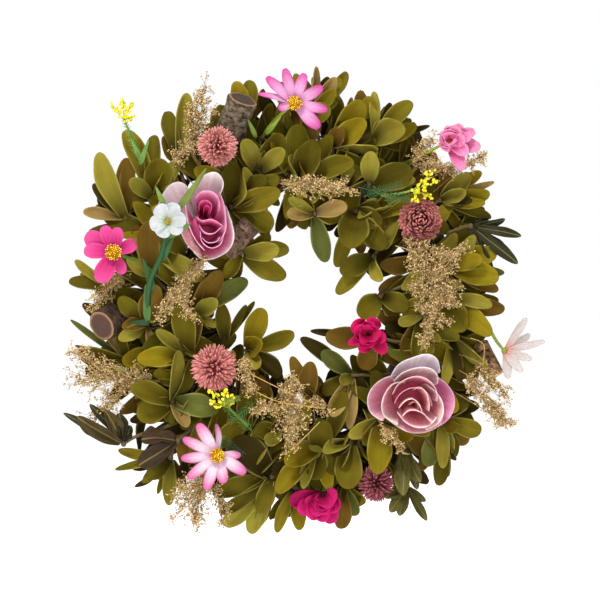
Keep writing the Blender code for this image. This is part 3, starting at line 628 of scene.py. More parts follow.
def bark_material():
    t = Tree("bark", 0.85, Specular_IOR_Level=0.2)
    tone = t.tone()
    ridges = t.noise(1.0, 5.0, t.grain(12.0, 9.0, shift=False), 0.65)
    flakes = t.noise(210.0, 6.0, None, 0.7)
    body = t.mix(t.spread(flakes, 0.46, 0.58, 0.0, 1.0), tone, t.mix(1.0, tone, (2.3, 2.25, 2.1), "MULTIPLY"))
    t.colour(t.mix(t.spread(ridges, 0.38, 0.52, 0.9, 0.0), body, rgb(30, 20, 14)))
    t.rough(t.spread(flakes, 0.3, 0.7, 0.75, 0.95))
    t.bump(t.math("ADD", ridges, flakes), 1.0, 0.0022)
    return t.material


def cut_wood_material():
    t = Tree("cut_wood", 0.8)
    rings = t.node("ShaderNodeTexNoise", noise_dimensions="1D")
    t.link(t.math("MULTIPLY", t.attribute("along"), 9.0), rings.inputs["W"])
    speck = t.noise(500.0, 3.0)
    tone = t.tone()
    body = t.mix(t.spread(rings.outputs["Fac"], 0.35, 0.6, 0.0, 0.7), tone,
                 t.mix(1.0, tone, (0.55, 0.42, 0.35), "MULTIPLY"))
    grained = t.scaled(body, t.spread(speck, 0.3, 0.7, 0.75, 1.2))
    t.colour(t.mix(t.spread(t.attribute("along"), 0.8, 0.92, 0.0, 0.8), grained, rgb(150, 112, 76)))
    t.rough(t.spread(speck, 0.3, 0.7, 0.7, 0.9))
    t.bump(speck, 0.3, 0.0005)
    return t.material


LEAF = leaf_material()
DARK_LEAF = dark_leaf_material()
PETAL = petal_material()
TWIG = toned_material("twig_bark", 0.75, 220.0)
GREEN = toned_material("green_stem", 0.5, 260.0, 0.75, 1.2, 0.15, 0.4)
STRAW = toned_material("dry_straw", 0.85, 500.0, 0.75, 1.3, 0.2, 0.15)
FLORET = toned_material("dried_floret", 0.8, 420.0, 0.72, 1.28, 0.25, 0.2)
POLLEN = toned_material("pollen", 0.8, 900.0, 0.7, 1.25, 0.3, 0.2)
BARK = bark_material()
CUT_WOOD = cut_wood_material()


# ---------------------------------------------------------------- foliage

def nearest_tips(node):
    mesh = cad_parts[node].data
    tree = KDTree(len(mesh.vertices))
    for index, vert in enumerate(mesh.vertices):
        tree.insert(vert.co, index)
    tree.balance()
    return tree


def settled_tip(tree, core, leaf):
    """Tip of the leaf as the model has it, which may be lifted or shorter than drawn."""
    for share in LENGTH_SHARES:
        for lift in TIP_LIFTS:
            tip = core.lerp(wreath_point((leaf[0], leaf[1], leaf[2] + lift)), share)
            if tree.find(tip)[2] < SAME_PLACE:
                return tip
    return wreath_point(leaf[:3])


def twig(mesher, start, end, radius, tone, slot, dice):
    """A slightly crooked twig."""
    span = (end - start).length
    points = [start]
    for share in (0.3, 0.6, 0.85):
        points.append(start.lerp(end, share) + shake(dice) * span * 0.025)
    points.append(end)
    route = smooth_route(points, 3)
    tube(mesher, route, np.linspace(radius, radius * 0.75, len(route)), tone, 7, slot)


def add_foliage(name, anchor, rosettes, blade_material, bare_cores=(), curl=0.0, narrow=1.0):
    dice = random.Random(name)
    mesher = Mesher()
    tips = nearest_tips(name)
    root = wreath_point((*anchor, 2.4))
    wood = rgb(96, 78, 50)
    for x, z, height, tones, leaves in (*rosettes, *[(*place, "", ()) for place in bare_cores]):
        core = wreath_point((x, z, height))
        twig(mesher, root, core, 1.5 * MM, wood, 1, dice)
        bead(mesher, core, CORE_RADIUS * 0.7, wood, 1)
        for tone, leaf in zip(tones, leaves):
            tip = settled_tip(tips, core, leaf)
            add_leaf(mesher, core, tip, leaf[3] * narrow * MM, leaf[4], TONES[tone], dice, curl=curl)
            if narrow < 1:
                turn = math.radians(dice.choice((-1, 1)) * dice.uniform(20, 34))
                reach = Matrix.Rotation(turn, 3, TOWARD_VIEWER) @ (tip - core)
                beside = core + reach * dice.uniform(0.6, 0.85)
                add_leaf(mesher, core, beside, leaf[3] * narrow * MM, leaf[4] + 30, TONES[tone], dice,
                         curl=curl)
    obj = mesher.build("look_" + name, [blade_material, TWIG], 1)
    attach(obj, ROOT)
    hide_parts(name)


def add_leaf(mesher, core, tip, width, roll, tone, dice, rows=8, columns=7, curl=0.0):
    base = core + (tip - core).normalized() * 1.5 * MM
    shade = dice.uniform(0.78, 1.16)
    colour = tuple(c * shade for c in tone)
    grid = leaf_grid(
        base, tip, width, roll + dice.uniform(-20, 20), cup=dice.uniform(0.12, 0.46),
        arch=dice.uniform(-0.03, 0.13), root=dice.uniform(0.36, 0.52), round_from=dice.uniform(0.60, 0.76),
        wave=dice.uniform(0.0, 0.04) + curl, rows=rows, columns=columns, seed=dice.uniform(0, 6),
        point=2.0 if curl == 0 else 1.4,
    )
    shell(mesher, grid, 0.9 * MM, colour)


for number, (anchor, rosettes) in enumerate(LEAF_STEMS):
    bare = [place for stem, place in HINGE_CORES.values() if stem == number]
    add_foliage(f"leaf_stem_{number + 1:02d}", anchor, rosettes, LEAF, bare)
for name, anchor, rosettes in DARK_SPRIGS:
    curl = 0.05 if name.startswith("grey") else 0.16
    add_foliage(name, anchor, rosettes, DARK_LEAF, curl=curl, narrow=0.68)


# ---------------------------------------------------------------- the leaves behind

# How far the foliage reaches from the middle of the ring, every 15 degrees from its right side.
OUTER_REACH = (120, 117, 127, 120, 129, 134, 134, 129, 131, 134, 142, 138,
               134, 130, 134, 140, 136, 137, 134, 132, 133, 138, 130, 118)
INNER_REACH = 43
# Low pieces that the leaves behind stay under, as (x, z, radius).
LOW_SPOTS = ((44, -110, 17), (6, -125, 18), (-119, -13, 15), (113, -38, 13), (-38, 112, 15), (128, -32, 22))
# Rows of leaves, from the back: how far out the bases are, how far out the tips are as a share of the way
# from the ring to the edge (below 0, to the hole), their height, how many go round, and their tones.
# The dark K and D tones, most of all in the low rows at the back, are painted shade.
ROWS = (
    (94, 1.0, -9, 46, "KKDBD"),
    (92, 0.7, -5, 40, "KDBD"),
    (86, 0.86, -3, 44, "DKODB"),
    (80, 0.66, 3, 40, "ODOYD"),
    (76, 0.42, 8, 34, "OLYDO"),
    (68, -1.0, -8, 30, "KKDB"),
    (74, -0.75, -1, 28, "DKOB"),
    (78, -0.45, 6, 26, "ODLD"),
)


def outer_reach(angle):
    place = math.degrees(angle) % 360 / 15
    index = int(place)
    return OUTER_REACH[index] + (OUTER_REACH[(index + 1) % 24] - OUTER_REACH[index]) * (place - index)


def swept_trees():
    """Search trees of the pieces that bend, along their range."""
    trees = []
    for name, (_, place) in HINGE_CORES.items():
        pivot = wreath_point(place)
        nodes = [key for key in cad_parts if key.startswith(name)]
        shapes = []
        for node in nodes:
            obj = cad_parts[node]
            shapes.append(([obj.matrix_world @ v.co for v in obj.data.vertices],
                           [tuple(p.vertices) for p in obj.data.polygons]))
        corners = [p for points, _ in shapes for p in points]
        head = sum(corners, Vector()) / len(corners)
        axis = (head - pivot).cross(TOWARD_VIEWER).normalized()
        for points, faces in shapes:
            for step in range(SWEEP_POSES):
                turn = Matrix.Rotation(math.radians(SWEEP_STEP * step), 3, axis)
                trees.append(BVHTree.FromPolygons([pivot + turn @ (p - pivot) for p in points], faces))
    return trees


def clears(swept, foot, end, width, roll):
    """Whether a leaf stays out of the way of the pieces that bend."""
    trial = Mesher()
    grid = leaf_grid(foot, end, width * 1.3, roll, 0.15, 0.03, 0.5, 0.65, rows=5, columns=5)
    shell(trial, grid, 3 * MM, (0, 0, 0))
    tree = BVHTree.FromPolygons(np.concatenate(trial.points).tolist(), trial.faces)
    return not any(tree.overlap(other) for other in swept)


def add_leaves_between(swept):
    """A second leaf a little behind each of the drawn ones, turned to one side of it."""
    dice = random.Random(17)
    mesher = Mesher()
    for _, rosettes in LEAF_STEMS:
        for x, z, height, _, leaves in rosettes:
            core = wreath_point((x, z, height))
            for tip_x, tip_z, tip_height, width, roll in leaves:
                turn = math.radians(dice.uniform(14, 30) * dice.choice((-1, 1)))
                tip = wreath_point((tip_x, tip_z, tip_height))
                reach = Matrix.Rotation(turn, 3, TOWARD_VIEWER) @ (tip - core)
                end = core + reach * dice.uniform(0.72, 0.92) - TOWARD_VIEWER * dice.uniform(5, 9) * MM
                flat = Vector((end.x, 0, end.z)) - WREATH_CENTRE
                if flat.length < INNER_REACH * MM:
                    continue
                slant = roll + dice.gauss(0, 26)
                if clears(swept, core, end, width * MM, slant):
                    # Painted shade: the leaves a little behind take the darker tones.
                    tone = TONES[dice.choice("DODKB")]
                    add_leaf(mesher, core, end, width * 0.95 * MM, slant, tone, dice, 7, 5)
    obj = mesher.build("leaves_between", [LEAF], 1)
    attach(obj, ROOT)


def add_leaves_behind(swept):
    """Rows of leaves round the ring, which fill what the drawn ones leave open."""
    dice = random.Random(11)
    for number, (start, share, height, count, tones) in enumerate(ROWS):
        mesher = Mesher()
        for index in range(count):
            angle = 2 * math.pi * (index + dice.uniform(-0.45, 0.45)) / count
            swing = dice.uniform(-0.75, 0.75)
            if share > 0:
                edge = outer_reach(angle + swing * 0.25)
                reach = start + 8 + (edge - start - 8) * share * dice.uniform(0.88, 1.0)
            else:
                reach = start - 8 + (start - 8 - INNER_REACH) * share * dice.uniform(0.85, 1.0)
            base_angle = angle - swing * 0.22
            base = Vector((math.cos(base_angle), 0, math.sin(base_angle))) * (start + dice.uniform(-6, 6))
            tip = Vector((math.cos(angle + swing * 0.12), 0, math.sin(angle + swing * 0.12))) * reach
            low = any((tip.x - x) ** 2 + (tip.z - z) ** 2 < r * r for x, z, r in LOW_SPOTS)
            span = (tip - base).length
            wanted = dice.uniform(27, 38)
            if span < wanted:
                base = tip + (base - tip).normalized() * wanted
            rise = height + dice.uniform(-3, 3) - (12 if low else 0)
            foot = wreath_point((base.x, base.z, rise - dice.uniform(2, 7)))
            end = wreath_point((tip.x, tip.z, rise + dice.uniform(2, 9) * (0.3 if low else 1)))
            width = dice.uniform(10.5, 15) * MM
            roll = dice.gauss(0, 34)
            if clears(swept, foot, end, width, roll):
                add_leaf(mesher, foot, end, width, roll, TONES[dice.choice(tones)], dice, 7, 5)
        obj = mesher.build(f"leaves_behind_{number + 1}", [LEAF], 1)
        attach(obj, ROOT)


swept_pieces = swept_trees()
add_leaves_between(swept_pieces)
add_leaves_behind(swept_pieces)


# ---------------------------------------------------------------- the vine ring

def bundle_point(around, twist, reach):
    """A place at a turn round the ring, and at a turn and a distance from the middle of the bundle there."""
    radius = RING_RADIUS + reach * math.cos(twist)
    return WREATH_CENTRE + Vector((radius * math.cos(around), reach * math.sin(twist),
                                   radius * math.sin(around)))


def cane_route(strand, count):
    points = []
    for index in range(count):
        around = 2 * math.pi * index / count
        twist = CANE_TWISTS * around + 2 * math.pi * strand / CANE_COUNT
        points.append(bundle_point(around, twist, HELIX_RADIUS))
    return points


def add_canes():
    for strand in range(CANE_COUNT):
        mesher = Mesher()
        route = cane_route(strand, 240)
        radii = [CANE_RADIUS * (0.93 + 0.07 * noise.noise(p * 60)) for p in route]
        tube(mesher, route, radii, rgb(88, 66, 46), 16, closed=True)
        obj = mesher.build(f"look_vine_cane_{strand + 1}", [BARK])
        roughen(obj, 0.5 * MM, 260)
        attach(obj, ROOT)
        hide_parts(f"vine_cane_{strand + 1}")


def roughen(obj, depth, scale):
    """Moves each point inward along its normal by noise, so that a smooth shape reads as bark."""
    mesh = obj.data
    moved = []
    for vert in mesh.vertices:
        moved.append(vert.co - vert.normal * depth * (0.5 + noise.fractal(vert.co * scale, 1.0, 2.0, 3)))
    for vert, place in zip(mesh.vertices, moved):
        vert.co = place


def add_tendrils():
    """Thin vines wound round the bundle between the canes."""
    dice = random.Random(5)
    mesher = Mesher()
    for strand in range(7):
        start = dice.uniform(0, 2 * math.pi)
        sweep = dice.uniform(2.2, 4.6)
        phase = dice.uniform(0, 2 * math.pi)
        turns = dice.choice((3, 4, 6))
        points = []
        last = 69
        for step in range(last + 1):
            around = start + sweep * step / last
            reach = BUNDLE_RADIUS - 1.4 * MM + 0.8 * MM * math.sin(step * 0.7 + strand)
            points.append(bundle_point(around, turns * around + phase, reach))
        size = dice.uniform(0.9, 1.5) * MM
        radii = [size * min(1, 0.35 + step / 12, 0.35 + (last - step) / 12) for step in range(last + 1)]
        tube(mesher, points, radii, rgb(104, 80, 56), 7)
    obj = mesher.build("vine_tendrils", [BARK])
    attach(obj, ROOT)


def add_ties():
    for number, angle in enumerate(TIE_ANGLES, 1):
        turn = math.radians(angle)
        outward = Vector((math.cos(turn), 0, math.sin(turn)))
        along = Vector((-math.sin(turn), 0, math.cos(turn)))
        middle = WREATH_CENTRE + outward * RING_RADIUS
        mesher = Mesher()
        for strand in range(2):
            points = []
            for step in range(96):
                around = 2 * math.pi * step / 96
                twist = 14 * around + math.pi * strand
                reach = BUNDLE_RADIUS + 1.3 * MM + WIRE_RADIUS * math.cos(twist)
                points.append(middle + outward * math.cos(around) * reach
                              + TOWARD_VIEWER * math.sin(around) * reach
                              + along * WIRE_RADIUS * math.sin(twist))
            tube(mesher, points, WIRE_RADIUS, rgb(70, 66, 44), 6, closed=True)
        obj = mesher.build(f"look_binding_wire_{number}", [WIRE])
        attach(obj, ROOT)
        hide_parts(f"binding_wire_{number}")


def wire_material():
    t = Tree("florist_wire", 0.45, Metallic=0.7)
    wear = t.noise(500.0, 3.0)
    t.colour(t.mix(t.spread(wear, 0.4, 0.6, 0.0, 1.0), t.tone(), rgb(110, 104, 84)))
    t.rough(t.spread(wear, 0.3, 0.7, 0.35, 0.6))
    return t.material


WIRE = wire_material()
add_canes()
add_tendrils()
add_ties()


# ---------------------------------------------------------------- branch pieces

# Middle of the hidden end, middle of the cut end, radius, bark tone, cut tone.
LOGS = {
    "branch_piece_top": ((-46, 96, 9), (-36, 121, 21), 9.5, rgb(92, 80, 66), rgb(64, 48, 36)),
    "branch_piece_left": ((-112, -9, 6), (-121, -15, 18), 10.0, rgb(66, 52, 38), rgb(78, 50, 34)),
    "branch_piece_inner_left": ((-31, 46, 17), (-47, 29, 17), 7.0, rgb(92, 72, 58), rgb(120, 86, 62)),
    "branch_piece_right": ((106, -26, 8), (116, -45, 12), 6.0, rgb(128, 98, 70), rgb(214, 168, 128)),
}


def add_log(name, hidden, cut, radius, bark, wood):
    start = wreath_point(hidden)
    end = wreath_point(cut)
    head = (end - start).normalized()
    right = head.orthogonal().normalized()
    up = head.cross(right)
    mesher = Mesher()
    rows, sides = 26, 40
    grid = []
    for i in range(rows):
        for k in range(sides):
            turn = 2 * math.pi * k / sides
            out = round_turn(right, up, turn)
            place = start.lerp(end, i / (rows - 1))
            lump = noise.fractal(place * 130 + out * 1.6, 1.0, 2.0, 4)
            reach = radius * MM * (0.95 + 0.08 * lump)
            if i in (0, rows - 1):
                reach *= 0.95
            grid.append(place + out * reach)
    faces = []
    for i in range(rows - 1):
        for k in range(sides):
            n = (k + 1) % sides
            faces.append((i * sides + k, (i + 1) * sides + k, (i + 1) * sides + n, i * sides + n)[::-1])
    mesher.add(grid, faces, bark, 0, np.repeat(np.linspace(0, 1, rows), sides),
               np.tile(np.linspace(0, 1, sides), rows))
    for last, middle, ring in ((False, start, grid[:sides]), (True, end, grid[-sides:])):
        points = []
        spots = []
        for step in range(6):
            share = 1 - step / 6
            dip = head * (0.35 * MM * math.sin(share * 9)) * (1 if last else -1) if step else Vector()
            points += [middle.lerp(p, share) + dip for p in ring]
            spots += [share] * sides
        points.append(middle)
        spots.append(0.0)
        caps = []
        for step in range(5):
            for k in range(sides):
                n = (k + 1) % sides
                face = (step * sides + k, step * sides + n, (step + 1) * sides + n, (step + 1) * sides + k)
                caps.append(face if last else face[::-1])
        for k in range(sides):
            n = (k + 1) % sides
            face = (5 * sides + k, 5 * sides + n, 6 * sides)
            caps.append(face if last else face[::-1])
        mesher.add(points, caps, wood, 1, spots)
    obj = mesher.build("look_" + name, [BARK, CUT_WOOD])
    weld(obj)
    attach(obj, ROOT)
    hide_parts(name)


def weld(obj, distance=0.00001):
    """Joins the patches of a mesh where they meet."""
    bm = bmesh.new()
    bm.from_mesh(obj.data)
    bmesh.ops.remove_doubles(bm, verts=bm.verts, dist=distance)
    bmesh.ops.recalc_face_normals(bm, faces=bm.faces)
    bm.to_mesh(obj.data)
    bm.free()


for name, values in LOGS.items():
    add_log(name, *values)


# ---------------------------------------------------------------- globe flowers

# Foot, middle, radius, florets, floret length share, floret width share, inward curl, tones.
GLOBES = {
    "globe_top": ((-47, 72, 1), (-51, 92, 36), 12.5, 230, 0.55, 0.085, 0.25,
        rgb(214, 142, 134), rgb(138, 62, 60)),
    "globe_right": ((60, 47, 1), (70, 48, 30), 13.5, 190, 0.45, 0.13, 0.8,
        rgb(206, 132, 124), rgb(120, 50, 50)),
    "globe_left": ((-56, -44, 1), (-53, -40, 26), 14.5, 400, 0.5, 0.055, 0.0,
        rgb(222, 142, 134), rgb(134, 50, 54)),
    "globe_bottom": ((43, -81, 1), (44, -110, 12), 11.5, 230, 0.55, 0.07, 0.1,
        rgb(176, 96, 104), rgb(84, 28, 38)),
}


def add_globe(name, foot, place, radius, count, length_share, width_share, curl, light, dark):
    dice = random.Random(name)
    middle = wreath_point(place)
    mesher = Mesher()
    size = radius * MM
    inner = size * (1 - length_share) * 0.92
    for index in range(count):
        lift = 1 - 2 * (index + 0.5) / count
        turn = index * GOLDEN_TURN
        flat = math.sqrt(1 - lift * lift)
        head = Vector((flat * math.cos(turn), lift, flat * math.sin(turn)))
        head = (head + shake(dice, 0.09)).normalized()
        side = head.cross(Vector((0, 1, 0.01))).normalized()
        # Florets curl toward the front of the head, where they close over its middle.
        bend = (TOWARD_VIEWER - head * head.dot(TOWARD_VIEWER)) * curl
        long = size * dice.uniform(0.92, 1.04)
        tone = np.array(light) * dice.uniform(0.75, 1.15)
        width = size * width_share * dice.uniform(0.8, 1.2)
        add_floret(mesher, middle, head, side, bend, inner * 0.75, long, width, tone, dark)
    core = ball(middle, inner, 14, 10)
    mesher.add(core[0], core[1], dark)
    root = wreath_point(foot)
    route = smooth_route([middle - TOWARD_VIEWER * size * 0.3, middle.lerp(root, 0.6), root])
    tube(mesher, route, 1.1 * MM, rgb(120, 112, 66), 7, 1)
    obj = mesher.build("look_" + name, [FLORET, TWIG])
    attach(obj, ROOT)
    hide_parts(name)


def ball(middle, radius, sides, rows):
    """Points and faces of a closed ball."""
    points = [middle + Vector((0, 0, radius))]
    for i in range(1, rows):
        polar = math.pi * i / rows
        for k in range(sides):
            turn = 2 * math.pi * k / sides
            points.append(middle + Vector((math.sin(polar) * math.cos(turn), math.sin(polar) * math.sin(turn),
                                           math.cos(polar))) * radius)
    points.append(middle - Vector((0, 0, radius)))
    faces = []
    last = len(points) - 1
    for k in range(sides):
        n = (k + 1) % sides
        faces.append((0, 1 + k, 1 + n))
        faces.append((last, last - sides + n, last - sides + k))
        for i in range(rows - 2):
            a = 1 + i * sides
            faces.append((a + k, a + sides + k, a + sides + n, a + n))
    return points, faces


def add_floret(mesher, middle, head, side, bend, inner, outer, width, tone, dark):
    """A narrow keeled floret, pointed at its end, that leans by bend along its length."""
    up = head.cross(side)
    points = []
    tones = []
    for share, broad, deep in ((0.0, 0.5, 0.6), (0.45, 1.0, 0.8), (0.8, 0.8, 0.5), (1.0, 0.12, 0.12)):
        place = middle + head * (inner + (outer - inner) * share) + bend * (outer - inner) * share * share
        if (place - middle).length > outer:
            place = middle + (place - middle).normalized() * outer
        for x, y in ((1, 0), (0, 1), (-1, 0), (0, -1)):
            points.append(place + side * x * width * broad + up * y * width * deep * 0.6)
            tones.append(np.array(dark) * (1 - share) + np.array(tone) * share)
    faces = [(3, 2, 1, 0), (12, 13, 14, 15)]
    for i in range(3):
        for k in range(4):
            n = (k + 1) % 4
            faces.append((i * 4 + k, i * 4 + n, (i + 1) * 4 + n, (i + 1) * 4 + k))
    mesher.add(points, faces, np.array(tones))


for name, values in GLOBES.items():
    add_globe(name, *values)


# ---------------------------------------------------------------- roses

def petal_tones(tones, rows, columns, dice):
    base, middle, tip = (np.array(tone) for tone in tones)
    s = np.linspace(0, 1, rows)[:, None, None]
    v = np.linspace(-1, 1, columns)[None, :, None]
    low = np.clip(1 - s / 0.35, 0, 1)
    high = np.clip((s - 0.45) / 0.5, 0, 1) ** 1.3
    colour = middle * (1 - low) + base * low
    colour = colour * (1 - high) + tip * high
    line = np.clip(1 - np.abs(np.abs(v) - 0.45) / 0.25, 0, 1) * 0.35 * (0.4 + s)
    edge = np.clip((np.abs(v) - 0.8) / 0.2, 0, 1) * 0.35
    colour = colour * (1 - line) + tip * line
    colour = colour * (1 - edge) + tip * edge
    return colour * dice.uniform(0.94, 1.05)


# Foot on the ring, back of the cup, the point it opens toward, radius, depth and the tone of its heart.
ROSES = {
    "pink_rose": ((-58, 50, 1), (-60, 42, 14), (-57, 48, 50), 18.5, 27.0, rgb(222, 96, 150)),
    "pale_rose": ((62, -50, 1), (64, -56, 14), (67, -57, 50), 24.0, 28.0, rgb(206, 92, 118)),
}
# The petals of each rose, outer ones first: the rim from its left to its right end as (x, z, height), the
# tone inside, the tone of the rim, and how upright the sheet stands (0 spreads out first, 1 rises first).
PINK_ROSE_PETALS = (
    (((-85, 52, 26), (-86, 58, 30), (-80, 68, 34), (-73, 71, 35), (-68, 67, 33), (-66, 60, 32)),
     rgb(236, 206, 214), rgb(240, 232, 232), 0.1),
    (((-70, 58, 32), (-67, 68, 36), (-58, 75, 40), (-51, 76, 41), (-47, 70, 40), (-50, 62, 38)),
     rgb(236, 226, 226), rgb(238, 236, 232), 0.2),
    (((-46, 58, 28), (-43, 48, 32), (-41, 39, 34), (-44, 31, 35), (-52, 26, 36), (-60, 25, 34),
      (-66, 30, 30)),
     rgb(222, 116, 162), rgb(246, 232, 232), 0.95),
    (((-76, 56, 30), (-74, 46, 34), (-71, 38, 36), (-66, 31, 36), (-60, 27, 34)),
     rgb(232, 176, 178), rgb(244, 222, 214), 0.3),
    (((-70, 60, 40), (-69, 52, 44), (-67, 44, 46), (-63, 36, 45), (-58, 30, 43)),
     rgb(222, 110, 158), rgb(246, 208, 222), 0.6),
    (((-50, 66, 38), (-47, 58, 42), (-46, 50, 42), (-46, 42, 42), (-50, 35, 42)),
     rgb(222, 104, 160), rgb(240, 176, 204), 0.6),
    (((-64, 62, 42), (-60, 65, 45), (-54, 65, 46), (-50, 61, 46), (-49, 55, 45)),
     rgb(206, 60, 128), rgb(240, 164, 198), 0.8),
    (((-64, 51, 42), (-60, 48, 44), (-55, 49, 45), (-50, 47, 44), (-47, 44, 41)),
     rgb(190, 44, 106), rgb(236, 150, 186), 0.8),
    (((-61, 42, 42), (-60, 36, 44), (-55, 32, 44), (-49, 34, 42), (-47, 40, 40)),
     rgb(222, 104, 156), rgb(244, 186, 212), 0.7),
    (((-62, 46, 42), (-58, 41, 45), (-52, 41, 45), (-48, 45, 42)),
     rgb(206, 72, 132), rgb(240, 172, 202), 0.8),
    (((-60, 38, 42), (-56, 35, 44), (-51, 36, 43), (-49, 39, 41)),
     rgb(214, 90, 146), rgb(244, 190, 214), 0.8),
    (((-62, 55, 42), (-61, 59, 45), (-57, 60, 46), (-54, 57, 46), (-55, 53, 44)),
     rgb(150, 8, 70), rgb(220, 96, 150), 0.95),
    (((-59, 54, 43), (-58, 57, 45), (-55, 56, 46), (-56, 53, 45)),
     rgb(140, 4, 62), rgb(206, 60, 122), 1.0),
)
PALE_ROSE_PETALS = (
    (((52, -46, 34), (57, -38, 37), (66, -34, 40), (74, -32, 42), (80, -35, 40), (82, -43, 36)),
     rgb(232, 216, 224), rgb(240, 236, 240), 0.2),
    (((56, -44, 30), (47, -47, 32), (41, -53, 35), (39, -60, 36), (41, -67, 35), (48, -72, 32)),
     rgb(206, 122, 150), rgb(240, 214, 220), 0.2),
    (((78, -44, 34), (86, -50, 37), (90, -58, 38), (89, -66, 37), (85, -72, 34), (79, -76, 30)),
     rgb(222, 124, 172), rgb(236, 176, 206), 0.2),
    (((50, -70, 32), (57, -75, 35), (64, -78, 37), (72, -78, 38), (80, -75, 36), (84, -70, 34)),
     rgb(238, 186, 200), rgb(244, 214, 222), 0.2),
    (((54, -48, 38), (59, -43, 43), (67, -40, 46), (75, -40, 46), (80, -44, 43), (80, -50, 40)),
     rgb(238, 210, 214), rgb(246, 238, 236), 0.45),
    (((62, -48, 40), (54, -49, 43), (49, -55, 46), (47, -62, 47), (49, -69, 45), (57, -74, 41)),
     rgb(228, 146, 164), rgb(246, 234, 226), 0.55),
    (((73, -49, 42), (79, -54, 45), (83, -61, 46), (83, -68, 45), (79, -74, 42), (73, -77, 39)),
     rgb(226, 130, 148), rgb(244, 222, 218), 0.55),
    (((53, -56, 42), (57, -49, 46), (65, -45, 48), (73, -46, 48), (79, -52, 46), (80, -60, 43)),
     rgb(228, 142, 160), rgb(242, 200, 206), 0.7),
    (((56, -66, 41), (61, -72, 44), (68, -75, 45), (75, -74, 45), (80, -69, 43)),
     rgb(236, 156, 172), rgb(244, 212, 214), 0.7),
    # This petal's dark pink inside is painted shade of the hollow that the inner petals make.
    (((54, -62, 42), (57, -56, 45), (63, -52, 46), (70, -52, 46), (75, -56, 45), (77, -63, 43)),
     rgb(190, 70, 98), rgb(234, 170, 182), 0.85),
    (((66, -53, 44), (69, -51, 48), (73, -54, 49), (75, -60, 48), (75, -66, 45)),
     rgb(226, 132, 144), rgb(244, 208, 208), 0.9),
    (((57, -64, 44), (60, -60, 48), (65, -58, 50), (69, -61, 50), (71, -66, 47)),
     rgb(236, 160, 156), rgb(248, 224, 212), 0.9),
    (((59, -69, 43), (63, -65, 47), (68, -65, 49), (73, -68, 48), (76, -72, 44)),
     rgb(222, 110, 132), rgb(246, 214, 212), 0.9),
    (((63, -62, 42), (66, -60, 45), (69, -62, 46), (68, -66, 44)),
     rgb(206, 96, 110), rgb(238, 180, 180), 1.0),
)


def sheet_of(start, head, rim, upright, rows, columns, dice):
    """Points of a petal from the back of the rose to its rim, which folds back a little at the end."""
    route = smooth_route([wreath_point(place) for place in rim], 6)
    steps = np.linspace(0, len(route) - 1, columns)
    s = np.linspace(0, 1, rows)
    seed = dice.uniform(0, 6)
    points = np.zeros((rows, columns, 3))
    for column, step in enumerate(steps):
        index = min(int(step), len(route) - 2)
        reach = route[index].lerp(route[index + 1], step - index) - start
        rise = head * reach.dot(head)
        spread = reach - rise
        swell = 1 + 0.02 * math.sin(math.pi * column / (columns - 1))
        for row, share in enumerate(s):
            out = math.sin(share * math.pi / 2) ** (0.8 - 0.3 * upright)
            out *= 1 - upright * 0.35 * share * (1 - share)
            climb = share ** (1.7 - 0.7 * upright)
            fold = max(0.0, (share - 0.82) / 0.18) ** 2
            ruffle = 0.6 * MM * math.sin(column * 1.3 + seed) * share ** 3
            points[row, column] = (start + spread * (out * swell + 0.01 * fold) + rise * climb
                                   + head * (ruffle - fold * 1.2 * MM))
    return points


def add_rose(name, foot, back, front, radius, depth, heart, petals):
    dice = random.Random(name)
    start = wreath_point(back)
    head = (wreath_point(front) - start).normalized()
    right = head.orthogonal().normalized()
    up = head.cross(right)
    rows, columns = 10, 13
    mesher = Mesher()
    s = np.linspace(0, 1, rows)[:, None, None]
    v = np.linspace(-1, 1, columns)[None, :, None]
    for rim, inside, outside, upright in petals:
        points = sheet_of(start, head, rim, upright, rows, columns, dice)
        lift = np.clip((s - 0.4) / 0.6, 0, 1) ** 1.3 + 0 * v
        pale = np.clip(lift + 0.3 * np.clip((np.abs(v) - 0.7) / 0.3, 0, 1) * s, 0, 1)
        shell(mesher, points, 0.45 * MM, (np.array(inside) * (1 - pale) + np.array(outside) * pale) * 1.25)
    # The floor of the cup, which the petals stand round.
    middle = start + head * depth * 0.3 * MM
    floor = ball(middle, radius * 0.5 * MM, 16, 10)
    mesher.add([p - head * (p - middle).dot(head) * 0.6 for p in floor[0]], floor[1], heart)
    foot_place = wreath_point(foot)
    tube(mesher, smooth_route([start + head * 4 * MM, start.lerp(foot_place, 0.5), foot_place]), 1.2 * MM,
         rgb(70, 96, 34), 8, 1)
    for k in range(5):
        turn = 2 * math.pi * k / 5 + 0.4
        out = round_turn(right, up, turn)
        sepal = start + out * radius * MM * 0.55 + head * 5 * MM
        grid = leaf_grid(start, sepal, 5 * MM, 0, 0.1, 0.12, 0.6, 0.4, 1.3)
        shell(mesher, grid, 0.5 * MM, rgb(84, 112, 42), 1)
    obj = mesher.build(f"look_{name}_bloom", [PETAL, GREEN], 1)
    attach(obj, ROOT)
    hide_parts(f"{name}_bloom")


add_rose("pink_rose", *ROSES["pink_rose"], PINK_ROSE_PETALS)
add_rose("pale_rose", *ROSES["pale_rose"], PALE_ROSE_PETALS)


# ---------------------------------------------------------------- open flowers

